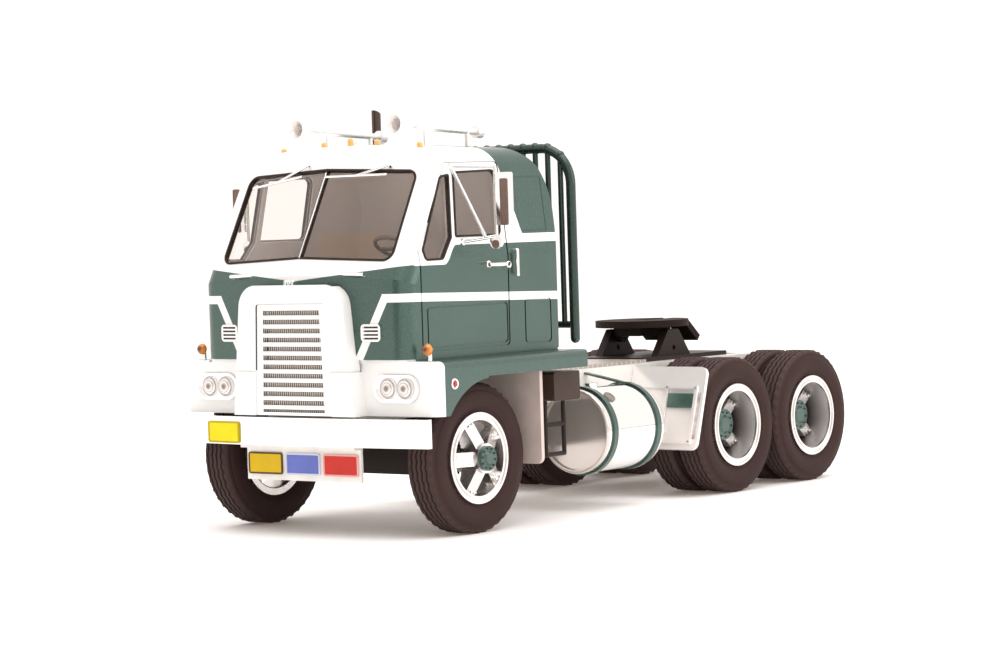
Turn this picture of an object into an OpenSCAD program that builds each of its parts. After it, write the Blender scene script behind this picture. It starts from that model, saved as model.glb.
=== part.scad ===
// Scale model of a three-axle cab-over tractor unit.
// Millimetres, +X forward, +Y to the vehicle's left, +Z up.
// The origin is on the ground under the middle of the model.

/* [Overall] */
// Front axle to the first rear axle
wheelbase = 78.6; // [76:0.1:110]
// First rear axle to the second
tandem = 25.8; // [25.6:0.1:32]
// Front axle forward to the bumper's face
front_overhang = 15.6; // [15:0.1:18]
// Last axle back to the end of the frame
rear_overhang = 13.8; // [13.2:0.1:24]

/* [Wheels] */
// Diameter of the tyres
tyre_d = 25.2; // [24.4:0.1:25.4]
// Width of one tyre
tyre_w = 6.2; // [5.8:0.1:6.3]
// Width over the front tyres
front_over_tyres = 52.2; // [51.6:0.1:53.6]
// Width over the rear tyres
rear_over_tyres = 52.4; // [51.6:0.1:56]
// Gap between twin tyres
twin_gap = 0.7; // [0.4:0.1:1]
// Diameter of the rim's flange
rim_d = 15.3; // [14.6:0.1:16.4]
// Diameter of the steel axle pins
pin_d = 2.4; // [1.8:0.1:2.8]
// Radial running clearance of the axle pins
pin_clear = 0.05; // [0.02:0.01:0.09]
// Spokes of each wheel
spokes = 5; // [4:1:6]

/* [Cab] */
// Width of the cab below the belt
cab_w = 46.2; // [43:0.1:48]
// Front axle forward to the cab's front face
cab_front = 14.1; // [13.6:0.1:14.6]
// Length of the cab
cab_l = 42.8; // [41:0.1:43.4]
// Height of the cab's lower edge above the ground
cab_z = 29.7; // [29.2:0.1:31]
// Height of the cab from its lower edge to the roof
cab_h = 36.2; // [34:0.1:39]
// Thickness of the cab's walls
cab_wall = 1.1; // [0.8:0.1:1.4]
// Lean of the windscreen in degrees
rake = 28; // [26:0.5:30]

/* [Front body] */
// Width of the lower body over the wheels
body_w = 58; // [57.4:0.1:60]
// Front axle forward to the lower body's face
body_front = 12.4; // [12.1:0.1:12.8]
// Height of the lower body's face
body_h = 9; // [8:0.1:10]
// Height of the sill behind the wheel arch
sill_h = 3; // [2.6:0.1:3.4]
// Gap between the cab and the lower body
cab_gap = 0.3; // [0.1:0.05:0.5]
// Room between the tyre and the wheel arch
arch_room = 0.9; // [0.6:0.1:1.2]
// Width of the bumper
bumper_w = 55.8; // [53:0.1:57]
// Height of the bumper
bumper_h = 4.75; // [4:0.05:5]
// Thickness of the bumper's plate
bumper_t = 1; // [0.8:0.1:1.4]
// Louvres in the grille
louvres = 12; // [8:1:14]

/* [Chassis] */
// Width over the frame rails
frame_w = 20.4; // [19:0.1:20.8]
// Height of the frame rails
rail_h = 5.4; // [4.8:0.1:5.8]
// Height of the frame's top above the ground
frame_z = 24.4; // [24:0.1:25]
// Diameter of the fuel tanks
tank_d = 15.2; // [13:0.1:15.4]
// Length of the fuel tanks
tank_l = 17.4; // [14:0.1:18]
// Front axle back to the fuel tanks
tank_set = 37.6; // [37:0.1:39]

/* [Fifth wheel] */
// Radius of the fifth wheel's plate
plate_r = 9; // [8.6:0.1:9.6]
// Height of the fifth wheel's top above the ground
plate_z = 32; // [31.6:0.1:34]
// Front axle back to the fifth wheel's pivot
pivot_set = 85; // [84:0.1:90]
// Diameter of the pivot pins
pivot_d = 1.6; // [1.2:0.1:1.8]
// Radius of the screw bores for a display base
screw_r = 1; // [0.8:0.05:1.2]

/* [Hidden] */
$fn = 48;

paint_green = "#1f5b4e";
paint_white = "#f2f2ee";
chrome = "#c9ccd0";
black = "#26221f";
grey = "#a8a6a2";
glass = "#8d8a83";
amber = "#e08a1e";
red = "#b3261e";
tan_trim = "#8a7a62";
rubber = "#2b2623";

// Shared small sizes
cut_over = 2;
seat_gap = 0.03;
round_lap = 0.004;
press_gap = 0.01;
air_gap = 0.3;

overall_l = front_overhang + wheelbase + tandem + rear_overhang;
front_axle_x = overall_l / 2 - front_overhang;
front_set = 1.9;
axle_z = tyre_d / 2;
tyre_r = tyre_d / 2;
rim_r = rim_d / 2;
pin_r = pin_d / 2;
rear_1_x = -wheelbase;
rear_2_x = -wheelbase - tandem;
frame_end = rear_2_x - rear_overhang;
frame_half = frame_w / 2;

// Outlines: convex, points run anticlockwise, one corner radius a point
function unit(v) = v / norm(v);
function left_of(v) = [-v[1], v[0]];
function into(p, i) = unit(p[i] - p[(i + len(p) - 1) % len(p)]);
function out_of(p, i) = unit(p[(i + 1) % len(p)] - p[i]);
function inset(p, d) = [for (i = [0:len(p) - 1])
    let (a = left_of(into(p, i)), b = left_of(out_of(p, i))) p[i] + d * (a + b) / (1 + a * b)];
function thinner(radii, d) = [for (r = radii) r > 0 ? max(r - d, 0) : 0];
function half_turn(p, i) = acos(min(1, into(p, i) * out_of(p, i))) / 2;
function alike(r, count) = [for (i = [1:count]) r];
function box_points(low, high) = [low, [high[0], low[1]], high, [low[0], high[1]]];

module rounded(p, radii) {
    cut = [for (i = [0:len(p) - 1]) radii[i] * tan(half_turn(p, i))];
    polygon([for (i = [0:len(p) - 1]) each radii[i] > 0
        ? [p[i] - into(p, i) * cut[i], p[i] + out_of(p, i) * cut[i]] : [p[i]]]);
    for (i = [0:len(p) - 1]) if (radii[i] > 0)
        translate(p[i] - into(p, i) * cut[i] + left_of(into(p, i)) * radii[i]) circle(radii[i] + round_lap);
}

// Outline in X and Z, drawn over a width centred on the middle plane
module across(w) rotate([90, 0, 0]) linear_extrude(w, center = true) children();
// Outline in X and Z, drawn outwards from one Y to another
module across_from(y0, y1) translate([0, y1, 0]) rotate([90, 0, 0]) linear_extrude(y1 - y0) children();
// Outline in Y and Z, drawn forward from one X to another
module along(x0, x1) translate([x0, 0, 0]) rotate([90, 0, 90]) linear_extrude(x1 - x0) children();
// Outline in X and Y, drawn up from one Z to another
module upright(z0, z1) translate([0, 0, z0]) linear_extrude(z1 - z0) children();
module both_sides() for (m = [0, 1]) mirror([0, m, 0]) children();
module at_front_axle() translate([front_axle_x, 0, 0]) children();
// Round bar between two points
module bar(a, b, r) {
    v = b - a;
    translate(a) rotate([0, acos(v[2] / norm(v)), atan2(v[1], v[0])]) cylinder(norm(v), r, r);
}
// Round bars through a list of points, with ball joints
module bent_bar(points, r) {
    for (i = [0:len(points) - 2]) bar(points[i], points[i + 1], r);
    for (p = points) translate(p) sphere(r + round_lap);
}
module block(low, high) translate(low) cube(high - low);

// Cab
// A place on the cab as shares of its length and height
function cab_x(share) = cab_front - share * cab_l;
function cab_up(share) = cab_z + share * cab_h;
cab_half = cab_w / 2;
cab_back = cab_x(1);
screen_foot_share = 0.392;
nose_share = 0.1;
roof_front_share = 0.985;
roof_top_share = 0.62;
roof_rear_share = 0.955;
belt_share = 0.45;
roof_half_share = 0.9;
screen_lead = 0.45;
vee_deg = 4.2;
screen_vee_deg = 4.9;
header_r = 6;
roof_rear_r = 12;
cab_corner_r = 3.2;
cab_rear_r = 0.8;
pillar_r = 3.4;
roof_edge_r = 4.6;
face_vee = cab_half * tan(vee_deg);
screen_vee = cab_half * tan(screen_vee_deg);
cab_reach = cab_l + cab_h;
function screen_x(z) = cab_front + screen_lead - (z - cab_up(screen_foot_share)) * tan(rake);
function cab_side(drop) = [[cab_back, cab_z - drop], [screen_x(cab_up(nose_share)), cab_z - drop],
    [screen_x(cab_up(nose_share)), cab_up(nose_share)],
    [screen_x(cab_up(roof_front_share)), cab_up(roof_front_share)],
    [cab_x(roof_top_share), cab_up(1)], [cab_back, cab_up(roof_rear_share)]];
cab_side_radii = [0, 0, 0, header_r, 0, roof_rear_r];
cab_plan = [[cab_front, 0], [cab_front - face_vee, cab_half], [cab_back, cab_half],
    [cab_back, -cab_half], [cab_front - face_vee, -cab_half]];
cab_plan_radii = [0, cab_corner_r, cab_rear_r, cab_rear_r, cab_corner_r];
screen_plan = [[0, 0], [-screen_vee, cab_half], [-cab_reach, cab_half], [-cab_reach, -cab_half],
    [-screen_vee, -cab_half]];
screen_plan_radii = [0, pillar_r, 0, 0, pillar_r];
function cab_face(drop) = [[-cab_half, cab_z - drop], [cab_half, cab_z - drop], [cab_half, cab_up(belt_share)],
    [cab_half * roof_half_share, cab_up(roof_rear_share)], [0, cab_up(1)],
    [-cab_half * roof_half_share, cab_up(roof_rear_share)], [-cab_half, cab_up(belt_share)]];
cab_face_radii = [0, 0, 0, roof_edge_r, 0, roof_edge_r, 0];

// Frame of the windscreen: X out of the glass, Z up along it, from its foot
module on_screen() translate([cab_front, 0, cab_up(screen_foot_share)]) rotate([0, -rake, 0]) children();
// The cab's outer form moved inwards by d
module cab_form(d, drop = 0) intersection() {
    across(cab_reach) rounded(inset(cab_side(drop), d), thinner(cab_side_radii, d));
    upright(0, cab_z + cab_reach) rounded(inset(cab_plan, d), thinner(cab_plan_radii, d));
    on_screen() upright(-cab_reach, cab_reach) rounded(inset(screen_plan, d), thinner(screen_plan_radii, d));
    along(cab_back - cab_l, cab_front + cab_l) rounded(inset(cab_face(drop), d), thinner(cab_face_radii, d));
}
// What stands on the cab, cut to its skin
module on_cab() difference() {
    children();
    cab_form(-seat_gap);
}
// A skin of the cab between two depths, within what cuts it out
module cab_skin(outer, inner) intersection() {
    difference() {
        cab_form(outer);
        cab_form(inner);
    }
    children();
}

// Windscreen opening, in shares of the cab's half width and height, and its divider
divider_half = 0.22;
screen_low_share = 0.084;
screen_high_share = 0.555;
screen_width_shares = [0.831, 0.822];
screen_foot_half = screen_width_shares[0] * cab_half;
screen_top_half = screen_width_shares[1] * cab_half;
screen_r = 2;
screen_low = screen_low_share * cab_h;
screen_high = screen_high_share * cab_h;
screen = [[-screen_foot_half, screen_low], [screen_foot_half, screen_low], [screen_top_half, screen_high],
    [-screen_top_half, screen_high]];
// Side windows, in shares of the cab's length and height: door glass and vent glass
door_glass_shares = [[0.642, 0.545], [0.355, 0.545], [0.387, 0.85], [0.666, 0.86]];
vent_glass_shares = [[0.334, 0.544], [0.266, 0.444], [0.158, 0.442], [0.144, 0.494], [0.306, 0.83],
    [0.366, 0.841]];
door_glass_radii = [1.2, 0.4, 0.4, 1.5];
vent_glass_radii = [0.8, 1, 1.1, 1.1, 1.3, 0.4];
function on_side(shares) = [for (s = shares) [cab_x(s[0]), cab_up(s[1])]];
side_panes = [[on_side(door_glass_shares), door_glass_radii], [on_side(vent_glass_shares), vent_glass_radii]];
gasket_w = 0.38;
gasket_proud = 0.15;
glass_deep = 0.3;
glass_t = 0.4;
// All window outlines drawn through the cab's skin, moved inwards by d
module screen_panes(d) on_screen() along(-cab_front, cut_over)
    rounded(inset(screen, d), thinner(alike(screen_r, 4), d));
module screen_divider(half) on_screen() block([-cab_front, -half, 0], [cut_over, half, cab_h]);
module door_panes(d) for (p = side_panes) across(cab_reach) rounded(inset(p[0], d), thinner(p[1], d));

// Engraved panel lines, in shares of the cab's length and height
line_w = 0.3;
line_deep = 0.2;
panel_r = 0.8;
door_line_shares = [[0.671, 0.03], [0.126, 0.03], [0.126, 0.49], [0.345, 0.893], [0.68, 0.898]];
door_panel_shares = [[0.66, 0.045], [0.16, 0.045], [0.16, 0.235], [0.66, 0.235]];
luggage_shares = [[0.943, 0.03], [0.769, 0.03], [0.769, 0.243], [0.943, 0.243]];
module panel_line(shares) across(cab_reach) difference() {
    rounded(on_side(shares), alike(panel_r, len(shares)));
    rounded(inset(on_side(shares), line_w), alike(panel_r - line_w, len(shares)));
}
// Raised frame round the grille, seen from the front
hood_top_half = 11.4;
hood_foot_half = 13.5;
hood_top_share = 0.348;
hood_proud = 1.25;
hood_r = 3.8;
hood_split = 1.7;
body_top = cab_z - cab_gap;
body_low = body_top - body_h;
hood_face = cab_front + hood_proud;
hood_points = [[-hood_foot_half, body_low], [hood_foot_half, body_low],
    [hood_top_half, cab_up(hood_top_share)], [-hood_top_half, cab_up(hood_top_share)]];
hood_radii = [0, 0, hood_r, hood_r];
hood_bite = 0.8;
grille_foot_half = 8.5;
grille_top_half = 7.8;
grille_top_share = 0.262;
grille_r = 0.6;
// Half width of the grille's opening at a height
function grille_edge(z) = grille_foot_half + (grille_top_half - grille_foot_half)
    * (z - body_low) / (cab_up(grille_top_share) - body_low);
function grille_outline(low, high) = [[-grille_edge(low), low], [grille_edge(low), low],
    [grille_edge(high), high], [-grille_edge(high), high]];
grille_points = grille_outline(body_low - cut_over, cab_up(grille_top_share));
module hood_form(back, z0, z1) intersection() {
    along(back, hood_face) rounded(hood_points, hood_radii);
    upright(z0, z1) square([cab_l, cab_w], center = true);
}
module grille_hole(room) along(body_front - body_wall - cut_over, hood_face + cut_over)
    rounded(inset(grille_points, -room), [0, 0, grille_r + room, grille_r + room]);
hood_seam = body_top - hood_split;

module cab_shell() color(paint_white) at_front_axle() difference() {
    union() {
        difference() {
            cab_form(0);
            cab_form(cab_wall, cut_over);
        }
        hood_form(cab_front - cab_wall - hood_bite / 2, hood_seam + cab_gap,
            cab_up(hood_top_share) + cut_over);
    }
    screen_panes(0);
    door_panes(0);
    grille_hole(0);
    cab_skin(-seat_gap, line_deep) union() {
        panel_line(door_line_shares);
        panel_line(door_panel_shares);
        panel_line(luggage_shares);
    }
}
module windscreen_glass() color(glass) at_front_axle()
    cab_skin(glass_deep, glass_deep + glass_t) difference() {
        screen_panes(gasket_w + seat_gap);
        screen_divider(divider_half + seat_gap);
    }
module side_glass() color(glass) at_front_axle()
    cab_skin(glass_deep, glass_deep + glass_t) door_panes(gasket_w + seat_gap);
module window_gaskets() color(black) at_front_axle() {
    cab_skin(-gasket_proud, glass_deep + glass_t) difference() {
        screen_panes(seat_gap);
        difference() {
            screen_panes(gasket_w);
            screen_divider(divider_half);
        }
    }
    cab_skin(-gasket_proud, glass_deep + glass_t) difference() {
        door_panes(seat_gap);
        door_panes(gasket_w);
    }
}

// Wipers hang from the header: columns are pivot and blade ends across,
// in shares of the half width, then heights up the glass in shares of the cab
wiper_r = 0.22;
wiper_lift = 0.5;
wiper_boss_r = 0.45;
wiper_boss_h = 0.7;
wiper_rows = [[-0.19, -0.24, -0.73, 0.58, 0.518, 0.482], [0.57, 0.56, 0.03, 0.572, 0.522, 0.505]];
function screen_at(y, up, lift) = [lift - abs(y) * tan(screen_vee_deg), y, up];
module wipers() color(chrome) at_front_axle() on_cab() on_screen() for (w = wiper_rows) {
    pivot = screen_at(w[0] * cab_half, w[3] * cab_h, wiper_lift);
    near = screen_at(w[1] * cab_half, w[4] * cab_h, wiper_lift);
    far = screen_at(w[2] * cab_half, w[5] * cab_h, wiper_lift);
    bent_bar([near, far], wiper_r);
    bent_bar([pivot, (near + far) / 2], wiper_r);
    bar(pivot - [wiper_boss_h, 0, 0], pivot + [wiper_r, 0, 0], wiper_boss_r);
}

// Louvred vents beside the grille
vent_w = 4;
vent_h = 2.9;
vent_proud = 0.45;
vent_r = 0.7;
vent_room = 2.5;
vent_y = hood_foot_half + vent_room;
vent_up_share = 0.124;
vent_slots = 4;
vent_slot_h = 0.32;
vent_rim = 0.45;
vent_pitch = (vent_h - vent_rim) / vent_slots;
module front_vents() color(chrome) at_front_axle() on_cab() both_sides()
    translate([cab_front, vent_y, cab_up(vent_up_share)]) rotate([0, 0, vee_deg])
    translate([-vent_y * sin(vee_deg), 0, 0]) difference() {
        along(-vent_proud, vent_proud)
            rounded(box_points([-vent_w / 2, -vent_h / 2], [vent_w / 2, vent_h / 2]), alike(vent_r, 4));
        for (i = [0:vent_slots - 1]) translate([vent_proud, 0, (i - (vent_slots - 1) / 2) * vent_pitch])
            cube([vent_proud, vent_w - 2 * vent_rim, vent_slot_h], center = true);
    }

// Grab handles under the windscreen
grab_l = 4.4;
grab_r = 0.3;
grab_post_r = 0.24;
grab_lift = 0.75;
grab_y_share = 0.543;
grab_up_share = 0.006;
module front_grab_handles() color(chrome) at_front_axle() on_cab() on_screen() both_sides() {
    a = screen_at(grab_y_share * cab_half - grab_l / 2, grab_up_share * cab_h, grab_lift);
    b = screen_at(grab_y_share * cab_half + grab_l / 2, grab_up_share * cab_h, grab_lift);
    bar(a - [0, grab_r, 0], b + [0, grab_r, 0], grab_r);
    for (end = [a, b]) bar(end - [2 * grab_lift, 0, 0], end, grab_post_r);
}

// Marker lamps on the roof, in shares of the half width
marker_shares = [-0.667, -0.261, 0, 0.261, 0.667];
marker_x_share = 0.362;
marker_r = 0.5;
marker_l = 1.2;
marker_h = 0.5;
function roof_z(y) = cab_up(1) - abs(y) / (cab_half * roof_half_share) * (cab_up(1) - cab_up(roof_rear_share));
module roof_markers() color(amber) at_front_axle() on_cab() for (s = marker_shares)
    translate([cab_x(marker_x_share), s * cab_half, roof_z(s * cab_half) - marker_r]) {
        cylinder(marker_r + marker_h, marker_r, marker_r);
        translate([0, 0, marker_r + marker_h]) sphere(marker_r - round_lap);
        translate([-marker_l, -marker_r, 0]) cube([marker_l, 2 * marker_r, marker_r + marker_h / 2]);
    }

// Air horns: trumpet section as shares of its length and bell radius
horn_l = 21.8;
horn_bell_r = 1.7;
horn_y = 11.1;
horn_tail_x_share = 0.834;
horn_tail_rise = 2.55;
horn_pitch_deg = -3.2;
horn_can_r = 1.1;
horn_can_h = 1.5;
horn_bell_shares = [[0, 0.32], [0.62, 0.38], [0.76, 0.5], [0.83, 0.78], [0.9, 0.95], [0.96, 1], [1, 0.98]];
horn_bowl_shares = [[1, 0.9], [0.96, 0.62], [0.86, 0.3], [0.84, 0]];
horn_post_r = 0.45;
horn_post_shares = [0.1, 0.62];
module air_horns() color(chrome) at_front_axle() on_cab() both_sides()
    translate([cab_x(horn_tail_x_share), horn_y, roof_z(horn_y) + horn_tail_rise]) {
        rotate([0, 90 + horn_pitch_deg, 0]) {
            rotate_extrude() polygon(concat([[0, 0]],
                [for (s = horn_bell_shares) [s[1] * horn_bell_r, s[0] * horn_l]],
                [for (s = horn_bowl_shares) [s[1] * horn_bell_r, s[0] * horn_l]]));
            translate([0, 0, -horn_can_h]) cylinder(horn_can_h + round_lap, horn_can_r, horn_can_r);
        }
        for (s = horn_post_shares) translate([s * horn_l, 0, -2 * horn_tail_rise])
            cylinder(2 * horn_tail_rise - s * horn_l * sin(horn_pitch_deg), horn_post_r, horn_post_r);
    }

// Mirrors: tube frame and head; places in shares of the cab's length and height
mirror_out = 31.7;
mirror_head_w = 3;
mirror_head_h = 8.8;
mirror_head_t = 0.9;
mirror_head_r = 0.4;
mirror_tube_r = 0.3;
mirror_foot_r = 0.55;
mirror_foot_t = 0.5;
mirror_tube_gap = 0.15;
mirror_up_share = 0.716;
mirror_x_share = 0.452;
mirror_top_foot_shares = [0.385, 0.872];
mirror_low_foot_shares = [0.392, 0.522];
mirror_top_share = 0.866;
mirror_low_share = 0.545;
mirror_brace_share = 0.7;
spot_r = 1.2;
spot_t = 0.7;
spot_drop = 0.9;
function side_y(z) = z < cab_up(belt_share) ? cab_half : cab_half * (1 - (1 - roof_half_share)
    * (z - cab_up(belt_share)) / (cab_up(roof_rear_share) - cab_up(belt_share)));
module mirrors() color(chrome) at_front_axle() on_cab() both_sides() {
    x = cab_x(mirror_x_share);
    tube_y = mirror_out - mirror_head_w - mirror_tube_gap - mirror_tube_r;
    top_z = cab_up(mirror_top_foot_shares[1]);
    low_z = cab_up(mirror_low_foot_shares[1]);
    top_foot = [cab_x(mirror_top_foot_shares[0]), side_y(top_z), top_z];
    low_foot = [cab_x(mirror_low_foot_shares[0]), side_y(low_z), low_z];
    top = [x, tube_y, cab_up(mirror_top_share)];
    low = [x, tube_y, cab_up(mirror_low_share)];
    head_mid = cab_up(mirror_up_share);
    brace = low_foot + mirror_brace_share * (low - low_foot);
    bent_bar([top_foot, top, low, low_foot], mirror_tube_r);
    bent_bar([top_foot, brace], mirror_tube_r);
    for (f = [top_foot, low_foot]) bar(f - [0, mirror_foot_t, 0], f + [0, mirror_foot_t, 0], mirror_foot_r);
    along(x - mirror_head_t / 2, x + mirror_head_t / 2)
        rounded(box_points([mirror_out - mirror_head_w, head_mid - mirror_head_h / 2],
            [mirror_out, head_mid + mirror_head_h / 2]), alike(mirror_head_r, 4));
    for (side = [-1, 1]) bar([x, tube_y, head_mid + side * mirror_head_h / 3],
        [x, mirror_out - mirror_head_w + mirror_head_r, head_mid + side * mirror_head_h / 3], mirror_tube_r);
    bar([x - spot_t / 2, tube_y, low[2] - spot_drop], [x + spot_t / 2, tube_y, low[2] - spot_drop], spot_r);
}

// Door handles and grab irons on the cab's sides, in shares of its length and height
handle_shares = [[0.515, 0.412], [0.655, 0.412]];
iron_shares = [[0.71, 0.36], [0.71, 0.474]];
handle_r = 0.36;
handle_lift = 0.7;
module side_handle(shares) both_sides() {
    feet = [for (s = shares) [cab_x(s[0]), cab_half, cab_up(s[1])]];
    bent_bar([feet[0], feet[0] + [0, handle_lift, 0], feet[1] + [0, handle_lift, 0], feet[1]], handle_r);
}
module door_handles() color(chrome) at_front_axle() on_cab() {
    side_handle(handle_shares);
    side_handle(iron_shares);
}

// Cab interior: floor tub with dash and bunk step, cut to the inside of the shell
floor_t = 1;
dash_back_share = 0.2;
dash_up_share = 0.47;
bunk_front_share = 0.72;
bunk_up_share = 0.33;
tub_gap = 0.12;
hump_half = 5.5;
hump_share = 0.2;
dash_r = 1.6;
module cab_interior() color(tan_trim) at_front_axle() difference() {
    intersection() {
        cab_form(cab_wall + tub_gap, cab_wall + tub_gap);
        union() {
            upright(cab_z, cab_z + floor_t) square([cab_reach, cab_w], center = true);
            across(cab_w) rounded(box_points([cab_x(dash_back_share), cab_z],
                [cab_front, cab_up(dash_up_share)]), [0, 0, 0, dash_r]);
            block([cab_back, -cab_half, cab_z], [cab_x(bunk_front_share), cab_half, cab_up(bunk_up_share)]);
            block([cab_x(bunk_front_share) - floor_t, -hump_half, cab_z],
                [cab_front, hump_half, cab_up(hump_share)]);
        }
    }
    grille_hole(cab_gap);
    hood_form(cab_front - cab_wall - hood_bite, hood_seam, cab_up(hood_top_share) + cut_over);
    screen_panes(0);
}

seat_w = 9.6;
seat_l = 8.6;
seat_y_share = 0.537;
seat_y = seat_y_share * cab_half;
seat_h = 3.2;
seat_back_t = 2.4;
seat_back_h = 11;
seat_x_share = 0.66;
seat_r = 1;
seat_base_h = 3.4;
module seats() color(tan_trim) at_front_axle() both_sides()
    translate([cab_x(seat_x_share), seat_y, cab_z + floor_t + seat_gap]) {
        half = seat_w / 2;
        block([seat_r, seat_r - half, 0], [seat_l - seat_r, half - seat_r, seat_base_h + seat_r]);
        upright(seat_base_h, seat_base_h + seat_h)
            rounded(box_points([0, -half], [seat_l, half]), alike(seat_r, 4));
        along(0, seat_back_t)
            rounded(box_points([-half, seat_base_h + seat_r], [half, seat_base_h + seat_back_h]),
                alike(seat_r, 4));
    }

wheel_r = 4.2;
wheel_tube_r = 0.35;
wheel_tilt = 28;
wheel_x_share = 0.3;
wheel_up_share = 0.5;
wheel_hub_r = 0.9;
column_r = 0.5;
column_l = 7;
module steering_wheel() color(black) at_front_axle() difference() {
    translate([cab_x(wheel_x_share), seat_y, cab_up(wheel_up_share)]) rotate([0, -wheel_tilt, 0]) {
        rotate_extrude() translate([wheel_r, 0]) circle(wheel_tube_r);
        for (a = [0, 180]) rotate([0, 0, a + 90]) bar([0, 0, 0], [wheel_r, 0, 0], wheel_tube_r - round_lap);
        translate([0, 0, -wheel_hub_r]) cylinder(2 * wheel_hub_r, wheel_hub_r, wheel_hub_r);
        translate([0, 0, -column_l]) cylinder(column_l, column_r, column_r);
    }
    across(cab_w) rounded(box_points([cab_x(dash_back_share) - seat_gap, 0],
        [cab_front, cab_up(dash_up_share) + seat_gap]), [0, 0, 0, dash_r]);
    upright(0, cab_z + floor_t + seat_gap) square([cab_reach, cab_w], center = true);
}

// Lower body: wheel arches, sills and headlamp panel in one casting
body_half = body_w / 2;
body_rear = cab_back - cab_gap;
body_wall = 1;
body_edge_r = 1.3;
body_corner_r = 2.4;
body_rear_r = 0.8;
body_vee = 0.5;
sill_low = body_top - sill_h;
arch_r = tyre_r + arch_room;
body_plan = [[body_front, 0], [body_front - body_vee, body_half], [body_rear, body_half],
    [body_rear, -body_half], [body_front - body_vee, -body_half]];
body_plan_radii = [0, body_corner_r, body_rear_r, body_rear_r, body_corner_r];
body_face = [[-body_half, 0], [body_half, 0], [body_half, body_top], [-body_half, body_top]];
body_face_radii = [0, 0, body_edge_r, body_edge_r];
module body_form(d) intersection() {
    upright(0, body_top - max(d, 0)) rounded(inset(body_plan, d), thinner(body_plan_radii, d));
    along(body_rear - cut_over, body_front + cut_over)
        rounded(inset(body_face, d), thinner(body_face_radii, d));
}
lamp_y = 20.2;
lamp_z_share = 0.51;
lamp_w = 9.6;
lamp_h = 4.7;
lamp_deep = 0.5;
lamp_r = 1.42;
lamp_pitch = 3.65;
lamp_z = body_low + lamp_z_share * body_h;
lamp_x = body_front - lamp_y * body_vee / body_half;
module lamp_outline(d) rounded(box_points([lamp_y - lamp_w / 2 + d, lamp_z - lamp_h / 2 + d],
    [lamp_y + lamp_w / 2 - d, lamp_z + lamp_h / 2 - d]), alike(lamp_h / 2 - d - round_lap, 4));
module lower_body() color(paint_green) at_front_axle() difference() {
    union() {
        difference() {
            body_form(0);
            body_form(body_wall);
            block([body_rear - cut_over, -body_w, -cut_over], [body_front - arch_r, body_w, sill_low]);
            block([body_front - 2 * arch_r, -body_w, -cut_over], [body_front + cut_over, body_w, body_low]);
        }
        hood_form(body_front - hood_bite, body_low, hood_seam);
    }
    translate([-front_set, 0, axle_z]) rotate([90, 0, 0])
        cylinder(body_w + cut_over, arch_r, arch_r, center = true);
    grille_hole(0);
    cab_form(-cab_gap, cab_gap);
    both_sides() along(lamp_x - lamp_deep, body_front + cut_over) lamp_outline(0);
}

// Grille: chrome frame with rounded louvres over a thin back plate
grille_t = 1.5;
grille_set = 0.2;
grille_rim = 0.5;
grille_side = 1;
grille_back_t = 0.35;
grille_lip = 0.6;
grille_low = body_low + seat_gap;
grille_high = cab_up(grille_top_share) - seat_gap;
louvre_pitch = (grille_high - grille_low - grille_lip) / louvres;
louvre_r_share = 0.3;
louvre_r = louvre_pitch * louvre_r_share;
grille_face = hood_face - grille_set;
grille_frame = inset(grille_outline(grille_low, grille_high), seat_gap);
grille_slots = [for (q = inset(grille_frame, grille_rim)) [q[0] - sign(q[0]) * grille_side, q[1]]];
module grille() color(chrome) at_front_axle() {
    along(grille_face - grille_t, grille_face) difference() {
        rounded(grille_frame, [0, 0, grille_r, grille_r]);
        polygon(grille_slots);
    }
    for (i = [0:louvres - 1]) {
        z = grille_low + grille_lip + (i + 1 / 2) * louvre_pitch;
        reach = grille_edge(z) - grille_rim - grille_side / 2;
        bar([grille_face - louvre_r, -reach, z], [grille_face - louvre_r, reach, z], louvre_r);
    }
}
// Dark plate behind the louvres
module grille_backing() color(black) at_front_axle()
    along(grille_face - grille_t, grille_face - grille_t + grille_back_t)
        polygon(inset(grille_slots, seat_gap));

bezel_proud = 0.5;
bezel_rim = 0.45;
bezel_lip = 0.35;
lens_gap = 0.05;
lens_bulge = 0.35;
lens_curve_r = 2.6;
module each_lamp() for (s = [-1, 1]) translate([0, lamp_y + s * lamp_pitch / 2, lamp_z]) children();
module headlamp_bezels() color(chrome) at_front_axle() both_sides() difference() {
    along(lamp_x - lamp_deep + seat_gap, lamp_x + bezel_proud) lamp_outline(seat_gap);
    along(lamp_x, lamp_x + bezel_proud + cut_over) lamp_outline(bezel_rim);
    translate([lamp_x - lamp_deep + bezel_lip, 0, 0]) each_lamp() rotate([0, 90, 0])
        cylinder(lamp_w, lamp_r, lamp_r);
}
module headlamp_lenses() color(glass) at_front_axle() both_sides()
    translate([lamp_x - lamp_deep + bezel_lip + lens_gap, 0, 0]) each_lamp() rotate([0, 90, 0])
    rotate_extrude() intersection() {
        square([lamp_r - lens_gap, lamp_deep + lens_bulge]);
        translate([0, lamp_deep + lens_bulge - lens_curve_r]) circle(lens_curve_r);
    }

signal_x = 10.2;
signal_room = 2.4;
signal_y = cab_half + signal_room;
signal_r = 1;
signal_stem_r = 0.35;
signal_rise = 1.85;
signal_cup_l = 0.9;
module at_signals() both_sides() translate([signal_x, signal_y, body_top + seat_gap]) children();
module turn_signals() color(amber) at_front_axle() at_signals() translate([seat_gap, 0, signal_rise])
    rotate([0, 90, 0]) rotate_extrude() intersection() {
        circle(signal_r - seat_gap);
        square([signal_r, signal_r]);
    }
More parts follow.
